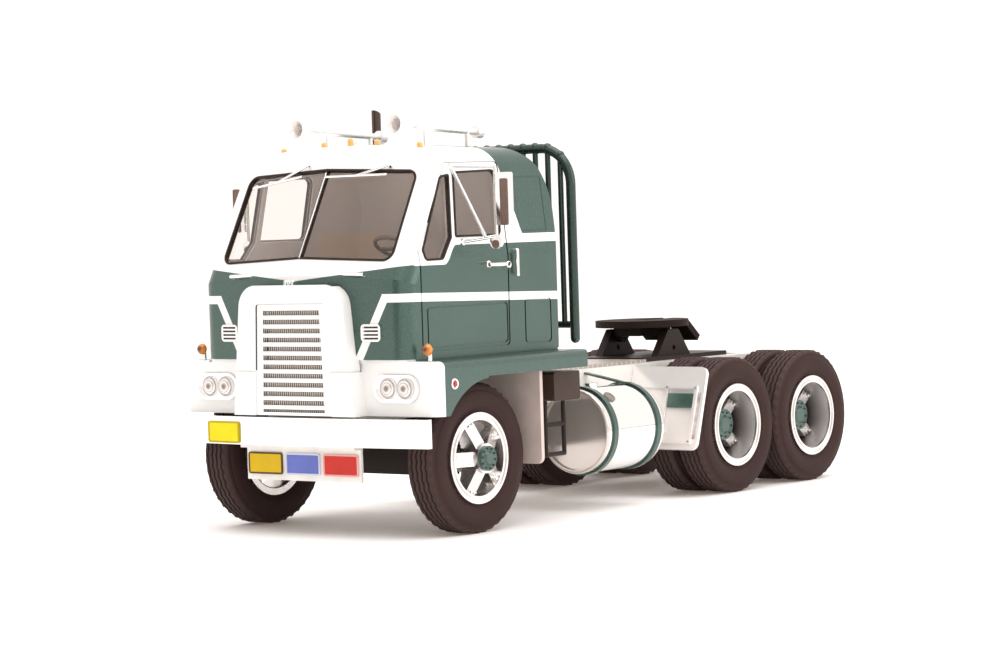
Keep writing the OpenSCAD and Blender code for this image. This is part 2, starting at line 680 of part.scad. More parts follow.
// Plated cups and stems that carry the turn signals
module signal_cups() color(chrome) at_front_axle() at_signals() {
    translate([-signal_cup_l / 2, 0, 0]) cylinder(signal_rise, signal_stem_r, signal_stem_r);
    translate([0, 0, signal_rise]) rotate([0, 90, 0]) translate([0, 0, -signal_cup_l])
        cylinder(signal_cup_l, signal_r / 2, signal_r);
}
side_marker_x = 8;
side_marker_z_share = 0.58;
side_marker_r = 0.55;
side_marker_t = 0.35;
module side_markers() color(red) at_front_axle() both_sides()
    translate([side_marker_x, body_half + seat_gap, body_low + side_marker_z_share * body_h])
    rotate([-90, 0, 0]) {
        cylinder(side_marker_t / 2, side_marker_r, side_marker_r);
        cylinder(side_marker_t, side_marker_r / 2, side_marker_r / 2);
    }

// Bumper bowed forward at the middle, with returned ends and two brackets
bumper_half = bumper_w / 2;
bumper_bow = 1.8;
bumper_low = body_low - cab_gap - bumper_h;
bumper_bow_r = (bumper_half * bumper_half + bumper_bow * bumper_bow) / (2 * bumper_bow);
bumper_return = 1;
bumper_lip = 0.5;
bumper_arm_w = 1.6;
bumper_arm_h = 2.6;
module bumper_arc(r) translate([front_overhang - bumper_bow_r, 0]) circle(r, $fn = 180);
module bumper() color(chrome) at_front_axle() {
    intersection() {
        upright(bumper_low, bumper_low + bumper_h) difference() {
            bumper_arc(bumper_bow_r);
            bumper_arc(bumper_bow_r - bumper_t);
        }
        block([0, -bumper_half, 0], [front_overhang + cut_over, bumper_half, cab_z]);
    }
    bumper_end = front_overhang - bumper_bow;
    both_sides() block([bumper_end - bumper_return, bumper_half - bumper_t, bumper_low + bumper_lip],
        [bumper_end - bumper_t / 4, bumper_half, bumper_low + bumper_h - bumper_lip]);
}
panel_half = 12.85;
panel_h = 6;
panel_t = 0.5;
panel_flange = 1.6;
panel_x = 13.2;
module plate_panel() color(paint_white) at_front_axle() {
    top = bumper_low - seat_gap;
    block([panel_x - panel_t, -panel_half, top - panel_h], [panel_x, panel_half, top]);
    block([panel_x - panel_t, -panel_half, top - panel_t], [panel_x + panel_flange, panel_half, top]);
}

// Rack of bars behind the cab, with stand-offs to its back wall
rack_set = 4.9;
rack_x = cab_back - rack_set;
rack_half = 22.6;
rack_top = 64.4;
rack_tie = 33.4;
rack_foot = 31;
rack_r = 0.86;
rack_bend = 6.4;
rack_bar_r = 0.5;
rack_bars = 16;
rack_pitch = 2.72;
rack_peg_r = 0.6;
rack_peg_z = [rack_tie, 52];
rack_peg_pitches = 4.5;
rack_bump = 0.25;
module rack_corner() translate([rack_x, rack_half - rack_bend, rack_top - rack_bend]) rotate([90, 0, 90])
    rotate_extrude(angle = 90) translate([rack_bend, 0]) circle(rack_r);
module cab_rack() color(paint_green) at_front_axle() {
    bar([rack_x, -rack_half + rack_bend, rack_top], [rack_x, rack_half - rack_bend, rack_top], rack_r);
    bar([rack_x, -rack_half, rack_tie], [rack_x, rack_half, rack_tie], rack_r - rack_bump);
    both_sides() {
        rack_corner();
        bar([rack_x, rack_half, rack_foot], [rack_x, rack_half, rack_top - rack_bend], rack_r);
        translate([rack_x, rack_half, rack_foot]) sphere(rack_r - round_lap);
        for (z = rack_peg_z) bar([rack_x, rack_peg_pitches * rack_pitch, z],
            [cab_back - seat_gap, rack_peg_pitches * rack_pitch, z], rack_peg_r);
    }
    for (i = [0:rack_bars - 1]) {
        y = (i - (rack_bars - 1) / 2) * rack_pitch;
        over = abs(y) - (rack_half - rack_bend);
        z = rack_top + (over > 0 ? sqrt(rack_bend * rack_bend - over * over) - rack_bend : 0);
        bar([rack_x, y, rack_tie], [rack_x, y, z], rack_bar_r);
        translate([rack_x, y, z + rack_bump]) sphere(rack_r);
    }
}

// Exhaust stack behind the cab on the right, with its run to the frame
stack_set = 2.05;
stack_x = cab_back - stack_set;
stack_y = -19.3;
stack_r = 0.85;
stack_top = 72.8;
stack_low = 27.3;
stack_pipe_r = 0.8;
stack_foot_y = -7;
stack_bore_r = 0.6;
stack_bore_h = 4;
stack_tip_deg = 28;
module exhaust_stack() color(chrome) at_front_axle() difference() {
    union() {
        bar([stack_x, stack_y, stack_low], [stack_x, stack_y, stack_top], stack_r);
        bent_bar([[stack_x, stack_y, stack_low], [stack_x, stack_foot_y, stack_low],
            [stack_x, stack_foot_y, frame_z + seat_gap]], stack_pipe_r);
        translate([stack_x, stack_y, stack_low]) sphere(stack_r + round_lap);
    }
    translate([stack_x, stack_y, stack_top - stack_bore_h])
        cylinder(stack_bore_h + cut_over, stack_bore_r, stack_bore_r);
    translate([stack_x + stack_r, stack_y, stack_top]) rotate([0, -stack_tip_deg, 0])
        block([-cab_w, -cab_w, 0], [cab_w, cab_w, cab_w]);
    upright(0, frame_z + seat_gap) square([2 * overall_l, frame_w], center = true);
}

// Frame: two channel rails, cross members and screw bosses
rail_w = 2;
rail_wall = 0.6;
rail_low = frame_z - rail_h;
frame_front = body_front - body_wall - body_vee - cab_gap;
cross_l = 3;
cross_shares = [0.36, 0.55];
boss_r = 2.4;
boss_h = 7;
tail_r = 1.1;
tail_t = 0.8;
tail_x = frame_end + tail_t + seat_gap;
boss_room = boss_r + rail_wall / 2;
boss_places = [frame_front - boss_room, tail_x + boss_room];
function frame_at(share) = frame_front + share * (frame_end - frame_front);
// Cross members: middle and half length of each
members = concat([for (x = boss_places) [x, boss_room]], [for (s = cross_shares) [frame_at(s), cross_l / 2]]);
arm_set = 6.8;
module chassis_frame() color(paint_white) at_front_axle() difference() {
    union() {
        both_sides() difference() {
            block([frame_end, frame_half - rail_w, rail_low], [frame_front, frame_half, frame_z]);
            block([frame_end - cut_over, frame_half - rail_w - cut_over, rail_low + rail_wall],
                [frame_front + cut_over, frame_half - rail_wall, frame_z - rail_wall]);
        }
        for (m = members) block([m[0] - m[1], -frame_half + rail_wall / 2, rail_low + rail_wall / 2],
            [m[0] + m[1], frame_half - rail_wall / 2, frame_z - rail_wall / 2]);
        for (x = boss_places) translate([x, 0, frame_z - boss_h]) cylinder(boss_h, boss_r, boss_r);
        both_sides() block([frame_front - cut_over, arm_set, bumper_low + bumper_lip],
            [front_overhang - bumper_bow - bumper_t, arm_set + bumper_arm_w,
            bumper_low + bumper_lip + bumper_arm_h]);
        both_sides() block([frame_front - cut_over, arm_set, bumper_low + bumper_lip],
            [frame_front, arm_set + bumper_arm_w, rail_low + rail_wall]);
    }
    for (x = boss_places) translate([x, 0, frame_z - boss_h - cut_over])
        cylinder(boss_h + 2 * cut_over, screw_r, screw_r);
    upright(bumper_low - cut_over, bumper_low + bumper_h + cut_over) difference() {
        bumper_arc(2 * bumper_bow_r);
        bumper_arc(bumper_bow_r - bumper_t - seat_gap);
    }
}

// Chequer plate over the frame behind the cab
deck_t = 0.6;
deck_half = 9.2;
deck_room = 2.3;
deck_front = stack_x - stack_pipe_r - deck_room;
base_lead = 11.4;
base_front = base_lead - pivot_set;
base_l = 28;
module deck_plate() color(grey) at_front_axle()
    block([base_front + air_gap, -deck_half, frame_z + seat_gap], [deck_front, deck_half, frame_z + deck_t]);

// Engine and gearbox block seen from below
engine_front = -7;
engine_l = 22;
engine_lug_l = 2.4;
engine_lug_h = 1.4;
engine_half = 6.4;
engine_low = 12.5;
engine_pan_half = 4;
engine_pan_low = 10;
engine_r = 1;
module engine_block() color(black) at_front_axle() {
    along(engine_front - engine_l, engine_front)
        rounded(box_points([-engine_half, engine_low], [engine_half, frame_z]), alike(engine_r, 4));
    along(engine_front - engine_l + cut_over, engine_front - cut_over) rounded(
        box_points([-engine_pan_half, engine_pan_low], [engine_pan_half, engine_low + cut_over]),
        alike(engine_r, 4));
    for (x = [engine_front - engine_lug_l, engine_front - engine_l + engine_lug_l]) block(
        [x - engine_lug_l / 2, seat_gap - frame_half + rail_wall, frame_z - rail_h / 2],
        [x + engine_lug_l / 2, frame_half - rail_wall - seat_gap, frame_z - rail_h / 2 + engine_lug_h]);
}

// Front axle beam with the bore that its pin runs in
beam_half_l = front_over_tyres / 2 - tyre_w - air_gap;
beam_h = 4.4;
beam_w = 4.4;
beam_drop = 0.8;
knuckle_r = 2.1;
hub_deep = 4;
knuckle_end = front_over_tyres / 2 - hub_deep - air_gap;
bore_r = pin_r + pin_clear;
module pin_bore() translate([0, 0, axle_z]) rotate([90, 0, 0])
    cylinder(2 * body_w, bore_r, bore_r, center = true);
module front_axle_beam() color(black) at_front_axle() translate([-front_set, 0, 0]) difference() {
    union() {
        block([-beam_w / 2, -beam_half_l, axle_z - beam_h / 2 - beam_drop],
            [beam_w / 2, beam_half_l, axle_z + beam_h / 2]);
        bar([0, -knuckle_end, axle_z], [0, knuckle_end, axle_z], knuckle_r);
    }
    pin_bore();
}
// Rear axles: tubes with a round gear case at the middle
housing_r = 2.2;
housing_case_r = 4.4;
rear_hub_deep = 8.4;
housing_half_l = rear_over_tyres / 2 - rear_hub_deep - air_gap;
nose_l = 6;
nose_r = 1.7;
module rear_axle_housings() color(black) at_front_axle()
    for (x = [rear_1_x, rear_2_x]) translate([x, 0, 0]) difference() {
        union() {
            bar([0, -housing_half_l, axle_z], [0, housing_half_l, axle_z], housing_r);
            translate([0, 0, axle_z]) sphere(housing_case_r);
            bar([0, 0, axle_z], [nose_l, 0, axle_z], nose_r);
        }
        pin_bore();
    }
// Leaf springs: leaves as shares of the spring's length
leaf_t = 0.75;
leaf_w = 1.6;
front_spring_l = 22;
leaf_shares = [1, 0.76, 0.5, 0.26];
spring_y = frame_half - rail_w / 2;
hanger_l = 1.6;
saddle_l = 6;
module leaf_pack(length, shares) for (i = [0:len(shares) - 1])
    translate([-length * shares[i] / 2, -leaf_w / 2, i * leaf_t])
        cube([length * shares[i], leaf_w, leaf_t + round_lap]);
module springs() color(black) at_front_axle() both_sides() {
    pack_h = len(leaf_shares) * leaf_t;
    pad_z = axle_z + beam_h / 2 + seat_gap;
    translate([-front_set, spring_y, pad_z + pack_h]) mirror([0, 0, 1]) leaf_pack(front_spring_l, leaf_shares);
    for (s = [-1, 1]) translate([s * (front_spring_l - hanger_l) / 2 - front_set, spring_y, 0])
        block([-hanger_l / 2, -leaf_w / 2, pad_z + pack_h - leaf_t],
            [hanger_l / 2, leaf_w / 2, rail_low - seat_gap]);
    mid = (rear_1_x + rear_2_x) / 2;
    rear_z = axle_z + housing_r + seat_gap;
    beam_reach = tandem / 2 + housing_r;
    translate([mid, spring_y, rear_z]) {
        block([-beam_reach, -leaf_w / 2, 0], [beam_reach, leaf_w / 2, 2 * leaf_t]);
        translate([0, 0, 2 * leaf_t]) block([-saddle_l / 2, -leaf_w / 2, -round_lap],
            [saddle_l / 2, leaf_w / 2, rail_low - seat_gap - rear_z - 2 * leaf_t]);
    }
}
// Propeller shafts from the gearbox to the axles
shaft_r = 0.9;
shaft_joint_r = 1.4;
shaft_joint_l = 1.6;
shaft_head_z = 17;
module shaft_run(a, b) {
    bar(a, b, shaft_r);
    bar(a, a + unit(b - a) * shaft_joint_l, shaft_joint_r);
    bar(b - unit(b - a) * shaft_joint_l, b, shaft_joint_r);
}
module drive_shafts() color(grey) at_front_axle() {
    shaft_run([engine_front - engine_l - seat_gap - shaft_joint_r / 2, 0, shaft_head_z],
        [rear_1_x + nose_l + shaft_joint_r / 2, 0, axle_z]);
    shaft_run([rear_1_x - housing_case_r - seat_gap, 0, axle_z], [rear_2_x + nose_l + seat_gap, 0, axle_z]);
}

// Fuel tanks: drums with dished ends and rolled rims
tank_r = tank_d / 2;
tank_y = rear_over_tyres / 2 - tank_r;
tank_z = 14.2;
tank_dish = 1;
tank_rim_w = 0.7;
tank_edge_r = 0.5;
tank_neck_r = 1.3;
tank_neck_h = 0.7;
tank_neck_share = 0.3;
strap_t = 0.35;
strap_w = 1.1;
strap_inset = 1.6;
strap_z = frame_z - rail_wall - strap_t;
module tank_axis(x) translate([x, tank_y, tank_z]) rotate([0, 90, 0]) children();
module fuel_tanks() color(chrome) at_front_axle() both_sides() {
    tank_axis(-tank_set - tank_l) rotate_extrude() difference() {
        rounded(box_points([-tank_r, 0], [tank_r, tank_l]), alike(tank_edge_r, 4));
        translate([-tank_d, -cut_over]) square([tank_d, tank_l + 2 * cut_over]);
        for (z = [0, tank_l]) translate([0, z - tank_dish / 2]) square([tank_r - tank_rim_w, tank_dish]);
    }
    translate([-tank_set - tank_neck_share * tank_l, tank_y, tank_z])
        cylinder(tank_r + tank_neck_h, tank_neck_r, tank_neck_r);
}
module tank_straps() color(paint_green) at_front_axle() both_sides()
    for (x = [-tank_set - strap_inset - strap_w, -tank_set - tank_l + strap_inset]) {
        tank_axis(x) difference() {
            cylinder(strap_w, tank_r + strap_t, tank_r + strap_t);
            translate([0, 0, -cut_over]) cylinder(strap_w + 2 * cut_over, tank_r + seat_gap, tank_r + seat_gap);
        }
        along(x, x + strap_w) polygon([[frame_half + seat_gap, strap_z], [tank_y, tank_z + tank_r + seat_gap],
            [tank_y, tank_z + tank_r + strap_t], [frame_half + seat_gap, strap_z + strap_t]]);
    }
// Battery boxes with step frames under them
box_front = -23.4;
box_l = 7.4;
box_out = 25.4;
box_h = 5;
box_top = 25.6;
box_r = 0.5;
module battery_boxes() color(black) at_front_axle() both_sides()
    across_from(frame_half + seat_gap, box_out)
        rounded(box_points([box_front - box_l, box_top - box_h], [box_front, box_top]), alike(box_r, 4));
step_drop = 9.4;
step_r = 0.4;
step_rung_shares = [0.45, 1];
step_in = 3;
step_half = 2.6;
module step_frames() color(black) at_front_axle() both_sides() {
    y = box_out - step_in;
    x = box_front - box_l / 2;
    z = box_top - box_h - seat_gap;
    for (s = [-1, 1]) bar([x + s * step_half, y, z - step_drop], [x + s * step_half, y, z], step_r);
    for (share = step_rung_shares)
        bent_bar([[x - step_half, y, z - share * step_drop], [x + step_half, y, z - share * step_drop]],
            step_r);
}
// Splash plates behind the front wheels
flap_x = -16.8;
flap_in = 12.5;
flap_out = 27.4;
flap_low = 10.4;
flap_t = 0.8;
flap_r = 1.2;
module front_flaps() color(grey) at_front_axle() both_sides() {
    along(flap_x - flap_t, flap_x) rounded(
        box_points([flap_in, flap_low], [flap_out, body_top - body_wall - seat_gap]), [flap_r, flap_r, 0, 0]);
    block([flap_x - flap_t, frame_half + seat_gap, rail_low], [flap_x, flap_in + flap_r, frame_z]);
}
// Leaning guards in front of the rear wheels
guard_out = 27;
guard_lean = 17;
guard_h = 15.6;
guard_low = 8.9;
guard_t = 0.7;
guard_r = 1.4;
guard_room = 2.2;
guard_foot = rear_1_x + tyre_r + guard_room;
guard_panel_shares = [[0.14, 0.2], [0.86, 0.2], [0.86, 0.74], [0.14, 0.74]];
guard_in = frame_half + seat_gap;
guard_deep = 0.3;
module quarter_guards() color(chrome) at_front_axle() both_sides()
    translate([guard_foot, 0, guard_low]) rotate([0, -guard_lean, 0]) difference() {
        along(0, guard_t)
            rounded(box_points([guard_in, 0], [guard_out, guard_h]), [guard_r, guard_r, guard_r, 0]);
        along(guard_t - guard_deep, guard_t + cut_over) rounded([for (s = guard_panel_shares)
            [guard_in + s[0] * (guard_out - guard_in), s[1] * guard_h]], alike(guard_r / 2, 4));
    }

// Fifth wheel: base with two pivot brackets, and the plate that tilts on them
base_half = 8.2;
base_t = 0.8;
base_z = frame_z + seat_gap;
bracket_y = 6.6;
bracket_t = 1.6;
bracket_foot = 11.4;
bracket_top = 3.4;
bracket_r = 0.8;
pivot_drop = 2.6;
pivot_z = plate_z - pivot_drop;
pivot_r = pivot_d / 2;
pivot_clear = 0.05;
plate_t = 1.3;
lug_t = 1.2;
lug_gap = 0.3;
lug_r = 1.7;
throat_w = 2.4;
ramp_l = 5.4;
ramp_half = 6.2;
ramp_deg = 40;
ramp_gap_half = 2;
ramp_start_share = 0.72;
bracket_hole_r = 0.5;
bracket_hole_share = 0.45;
jaw_front = 4.5;
jaw_back = 3;
jaw_half = 2.6;
jaw_h = 1.7;
module fifth_wheel_base() color(black) at_front_axle() translate([-pivot_set, 0, 0]) {
    block([base_lead - base_l, -base_half, base_z], [base_lead, base_half, base_z + base_t]);
    both_sides() {
        across_from(bracket_y - bracket_t / 2, bracket_y + bracket_t / 2) difference() {
            rounded([[-bracket_foot / 2, base_z + base_t / 2], [bracket_foot / 2, base_z + base_t / 2],
                [bracket_top / 2, pivot_z + pivot_r], [-bracket_top / 2, pivot_z + pivot_r]],
                [0, 0, bracket_r, bracket_r]);
            translate([0, base_z + bracket_hole_share * (pivot_z - base_z)]) circle(bracket_hole_r);
        }
        translate([0, bracket_y - bracket_t / 2 - lug_gap - lug_t, pivot_z]) rotate([-90, 0, 0])
            cylinder(lug_gap + lug_t + bracket_t / 2, pivot_r, pivot_r);
    }
}
module fifth_wheel_plate() color(black) at_front_axle() translate([-pivot_set, 0, 0]) difference() {
    under = plate_z - plate_t;
    lug_y = bracket_y - bracket_t / 2 - lug_gap;
    run = ramp_l * [-cos(ramp_deg), -sin(ramp_deg)];
    union() {
        upright(under, plate_z) circle(plate_r);
        block([-jaw_back, -jaw_half, under - jaw_h], [jaw_front, jaw_half, under + round_lap]);
        both_sides() {
            across_from(lug_y - lug_t, lug_y) difference() {
                union() {
                    translate([0, pivot_z]) circle(lug_r);
                    polygon(box_points([-lug_r, pivot_z], [lug_r, under + round_lap]));
                }
                translate([0, pivot_z]) circle(pivot_r + pivot_clear);
            }
            translate([-plate_r * ramp_start_share, 0, plate_z]) across_from(ramp_gap_half, ramp_half)
                polygon([[0, 0], run, run + plate_t * [sin(ramp_deg), -cos(ramp_deg)],
                    [0, -plate_t / cos(ramp_deg)]]);
        }
    }
    upright(plate_z - pivot_drop, plate_z + cut_over) union() {
        translate([-2 * plate_r, -throat_w / 2]) square([2 * plate_r, throat_w]);
        circle(throat_w / 2 + round_lap);
    }
}

// Tail lamps on the rear cross member
tail_y = 6.2;
tail_pitch = 2.6;
tail_top_share = 0.85;
module tail_lamps() color(red) at_front_axle() both_sides() for (s = [-1, 1])
    translate([tail_x - seat_gap, tail_y + s * tail_pitch / 2, frame_z - rail_h / 2])
    rotate([0, -90, 0]) cylinder(tail_t, tail_r, tail_r * tail_top_share);

// Wheels: revolved about a local axis, outer face of the tyre at zero, pointing outwards
flange_h = 0.42;
barrel_set = 1.3;
bead_r = rim_r - flange_h;
barrel_r = rim_r - barrel_set;
flange_set = 0.4;
flange_t = 0.5;
bead_share = 0.19;
shoulder_share = 0.07;
wall_share = 0.52;
wall_r = 1.7;
shoulder_r = 0.7;
bead_edge_r = 0.25;
groove_w = 0.32;
groove_deep = 0.42;
groove_shares = [0.26, 0.42, 0.58, 0.74];
spoke_half = 1.2;
spoke_t = 1.6;
spoke_set = 1.1;
rear_spoke_set = 4.8;
spoke_root_share = 0.5;
hub_r = 2.5;
hub_set = -1.2;
rear_hub_set = 3.8;
lip_w = 0.4;
lip_h = 0.2;
hub_cap_r = 2.1;
rear_hub_cap_r = 2.9;
cap_t = 0.5;
cap_dome = 0.35;
cap_foot_share = 0.6;
cap_top_share = 0.45;
clamp_l = 1;
clamp_half = 0.7;
clamp_proud = 0.35;
twin_w = 2 * tyre_w + twin_gap;
module wheels(over) translate([0, 0, axle_z]) both_sides() translate([0, over / 2, 0]) rotate([-90, 0, 0])
    children();
module one_tyre() rotate_extrude() difference() {
    mid = bead_r + wall_share * (tyre_r - bead_r);
    rounded([[bead_r, -tyre_w * (1 - bead_share)], [mid, -tyre_w], [tyre_r, -tyre_w * (1 - shoulder_share)],
        [tyre_r, -tyre_w * shoulder_share], [mid, 0], [bead_r, -tyre_w * bead_share]],
        [bead_edge_r, wall_r, shoulder_r, shoulder_r, wall_r, bead_edge_r]);
    for (s = groove_shares) translate([tyre_r - groove_deep, -tyre_w * s - groove_w / 2])
        square([cut_over, groove_w]);
}
// Rim barrel over a width, its two flanges, spokes at a depth and the hub they carry
module one_rim(width, spoke_at, hub_at, hub_end) difference() {
    union() {
        rotate_extrude() {
            translate([barrel_r, -width + flange_set])
                square([bead_r - press_gap - barrel_r, width - 2 * flange_set]);
            for (z = [-width + flange_set, -flange_set - flange_t])
                translate([barrel_r, z]) square([rim_r - barrel_r, flange_t]);
            for (r = [barrel_r, rim_r - lip_w])
                translate([r, -flange_set - flange_t]) square([lip_w, flange_t + lip_h]);
        }
        translate([0, 0, -hub_end]) cylinder(hub_end - hub_at, hub_r, hub_r);
        for (i = [0:spokes - 1]) rotate([0, 0, i * 360 / spokes]) {
            root = -hub_at - spoke_root_share * spoke_t;
            across(2 * spoke_half) polygon([[pin_r, -spoke_at - spoke_t],
                [barrel_r + round_lap, -spoke_at - spoke_t], [barrel_r + round_lap, -spoke_at],
                [hub_r, root], [pin_r, root]]);
            across(2 * clamp_half) polygon(box_points([barrel_r - clamp_l, -spoke_at - spoke_t],
                [barrel_r + round_lap, clamp_proud - spoke_at]));
        }
    }
    translate([0, 0, -2 * width]) cylinder(3 * width, pin_r + press_gap, pin_r + press_gap);
}
module one_cap(r, at) translate([0, 0, -at + seat_gap]) {
    cylinder(cap_t, r, r);
    translate([0, 0, cap_t - round_lap]) cylinder(cap_dome, r * cap_foot_share, r * cap_top_share);
}
module axle_pin(x, half_l) color(grey) at_front_axle() bar([x, -half_l, axle_z], [x, half_l, axle_z], pin_r);
module rear_rims(x) color(chrome) at_front_axle() translate([x, 0, 0]) wheels(rear_over_tyres)
    one_rim(twin_w, rear_spoke_set, rear_hub_set, rear_hub_deep);
module rear_caps(x) color(paint_green) at_front_axle() translate([x, 0, 0]) wheels(rear_over_tyres)
    one_cap(rear_hub_cap_r, rear_hub_set);
module rear_tyres(x) color(rubber) at_front_axle() translate([x, 0, 0]) wheels(rear_over_tyres) {
    one_tyre();
    translate([0, 0, -tyre_w - twin_gap]) one_tyre();
}
module front_axle_pin() axle_pin(-front_set, front_over_tyres / 2 - hub_set);
module front_rims() color(chrome) at_front_axle() translate([-front_set, 0, 0]) wheels(front_over_tyres)
    one_rim(tyre_w, spoke_set, hub_set, hub_deep);
module front_hub_caps() color(paint_green) at_front_axle() translate([-front_set, 0, 0])
    wheels(front_over_tyres)
    one_cap(hub_cap_r, hub_set);
module front_tyres() color(rubber) at_front_axle() translate([-front_set, 0, 0])
    wheels(front_over_tyres) one_tyre();
module rear_axle_pin_1() axle_pin(rear_1_x, rear_over_tyres / 2 - rear_hub_set);
module rear_axle_pin_2() axle_pin(rear_2_x, rear_over_tyres / 2 - rear_hub_set);
module rear_rims_1() rear_rims(rear_1_x);
module rear_rims_2() rear_rims(rear_2_x);
module rear_hub_caps_1() rear_caps(rear_1_x);
module rear_hub_caps_2() rear_caps(rear_2_x);
module rear_tyres_1() rear_tyres(rear_1_x);
module rear_tyres_2() rear_tyres(rear_2_x);

cab_shell();
windscreen_glass();
side_glass();
window_gaskets();
wipers();
front_vents();
front_grab_handles();
roof_markers();
air_horns();
mirrors();
door_handles();
cab_interior();
seats();
steering_wheel();
lower_body();
grille();
grille_backing();
headlamp_bezels();
headlamp_lenses();
turn_signals();
signal_cups();
side_markers();
bumper();
plate_panel();
cab_rack();
exhaust_stack();
chassis_frame();
deck_plate();
engine_block();
front_axle_beam();
rear_axle_housings();
springs();
drive_shafts();
fuel_tanks();
tank_straps();
battery_boxes();
step_frames();
front_flaps();
quarter_guards();
fifth_wheel_base();
fifth_wheel_plate();
tail_lamps();
front_axle_pin();
front_rims();
front_hub_caps();
front_tyres();
rear_axle_pin_1();
rear_rims_1();
rear_hub_caps_1();
rear_tyres_1();
rear_axle_pin_2();
rear_rims_2();
rear_hub_caps_2();
rear_tyres_2();
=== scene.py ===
# %% [markdown]
# # A plated cab-over tractor unit in small scale
# The solids of this scale model were made in CAD and packed as a fixed frame. In this lesson we dress
# them in Blender: a camera and a studio first, then one finish after another, and last the small
# pieces that a CAD model leaves out. Everything is in metres and in the CAD's own frame, so a piece
# goes where the drawing says.

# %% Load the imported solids
import math

import bpy
from mathutils import Matrix, Vector


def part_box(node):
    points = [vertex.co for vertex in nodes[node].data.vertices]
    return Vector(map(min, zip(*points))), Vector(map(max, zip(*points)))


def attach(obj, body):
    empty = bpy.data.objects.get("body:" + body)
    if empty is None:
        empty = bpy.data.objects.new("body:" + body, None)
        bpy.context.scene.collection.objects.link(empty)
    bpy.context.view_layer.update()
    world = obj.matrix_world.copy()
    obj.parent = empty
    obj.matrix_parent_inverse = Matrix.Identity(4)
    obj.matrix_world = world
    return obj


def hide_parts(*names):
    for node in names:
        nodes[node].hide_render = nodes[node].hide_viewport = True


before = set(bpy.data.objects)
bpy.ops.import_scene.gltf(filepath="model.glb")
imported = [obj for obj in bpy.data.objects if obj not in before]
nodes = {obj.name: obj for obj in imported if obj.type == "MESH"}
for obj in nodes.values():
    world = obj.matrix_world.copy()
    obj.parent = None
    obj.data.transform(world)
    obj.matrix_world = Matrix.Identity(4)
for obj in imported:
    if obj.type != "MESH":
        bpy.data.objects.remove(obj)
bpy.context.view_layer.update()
MM = 0.001
DATUM_X = 51.3  # the drawing counts x from here, just ahead of the front axle


# %% [markdown]
# ## Camera
# The photograph was taken with a long lens, a little above the bumper and about forty degrees off the
# nose. A camera's own axes are X to the right, Y up and Z backwards, so we work out the backwards
# direction first, find the other two from it, and roll them by the small tilt that the picture has.

# %% Camera at the photograph's angle
CAMERA_TURN, CAMERA_RISE, CAMERA_ROLL = 38.501, 2.167, -1.775
CAMERA_PLACE = Vector((436.667, 339.043, 52.084)) * MM
LENS, SENSOR = 107.91, 36

turn, rise, roll = (math.radians(a) for a in (CAMERA_TURN, CAMERA_RISE, CAMERA_ROLL))
back = Vector((math.cos(rise) * math.cos(turn), math.cos(rise) * math.sin(turn), math.sin(rise)))
level = (-back).cross(Vector((0, 0, 1))).normalized()
above = level.cross(-back)
right = math.cos(roll) * level + math.sin(roll) * above
up = math.cos(roll) * above - math.sin(roll) * level

lens = bpy.data.cameras.new("camera")
lens.sensor_fit, lens.sensor_width, lens.lens = "HORIZONTAL", SENSOR, LENS
lens.clip_start, lens.clip_end = 0.01, 20
camera = bpy.data.objects.new("camera", lens)
axes = Matrix((right, up, back)).transposed().to_4x4()
camera.matrix_world = Matrix.Translation(CAMERA_PLACE) @ axes
bpy.context.collection.objects.link(camera)
bpy.context.scene.camera = camera
print("camera", [round(v, 4) for v in camera.location])

# %% [markdown]
# ## Shader maths as expressions
# A shader is a graph of nodes, and arithmetic in it soon gets long. One small class wraps an output
# socket, so that we can write `1 - mask` or `x > 3` and the Math nodes appear by themselves. On masks,
# `&` takes the smaller value and `|` the larger one, so they work as "and" and "or".

# %% Sockets that add up
def joined(operation):
    """A method that joins a socket and another value in a Math node of this kind."""
    return lambda first, second: first.maths(operation, first, second)


class Wire:
    """An output socket that takes part in Python expressions."""

    def __init__(self, finish, socket):
        self.finish, self.socket = finish, socket

    def maths(self, operation, *values):
        return self.finish.add("Math", {"operation": operation}, dict(enumerate(values)))

    __add__ = __radd__ = joined("ADD")
    __mul__ = __rmul__ = joined("MULTIPLY")
    __sub__ = joined("SUBTRACT")
    __truediv__ = joined("DIVIDE")
    __pow__ = joined("POWER")
    __gt__ = joined("GREATER_THAN")
    __lt__ = joined("LESS_THAN")
    __and__ = joined("MINIMUM")
    __or__ = joined("MAXIMUM")

    def __rsub__(self, other):
        return self.maths("SUBTRACT", other, self)

    def __abs__(self):
        return self.maths("ABSOLUTE", self)

    def floor(self):
        return self.maths("FLOOR", self)

    def fraction(self):
        return self.maths("FRACT", self)


def reach(first, second):
    """The length of the long side of a right triangle, from its two short ones."""
    return (abs(first) ** 2 + abs(second) ** 2) ** 0.5


print("sockets can be added, compared and joined")

# %% [markdown]
# A second class holds a material. Values that are the same all over go straight on its shader, and its
# one method `add` makes any other node from its type, its settings and its sockets. The methods after
# it are the few nodes that nearly every finish here needs.

# %% Finishes that hold the sockets
dressed = []


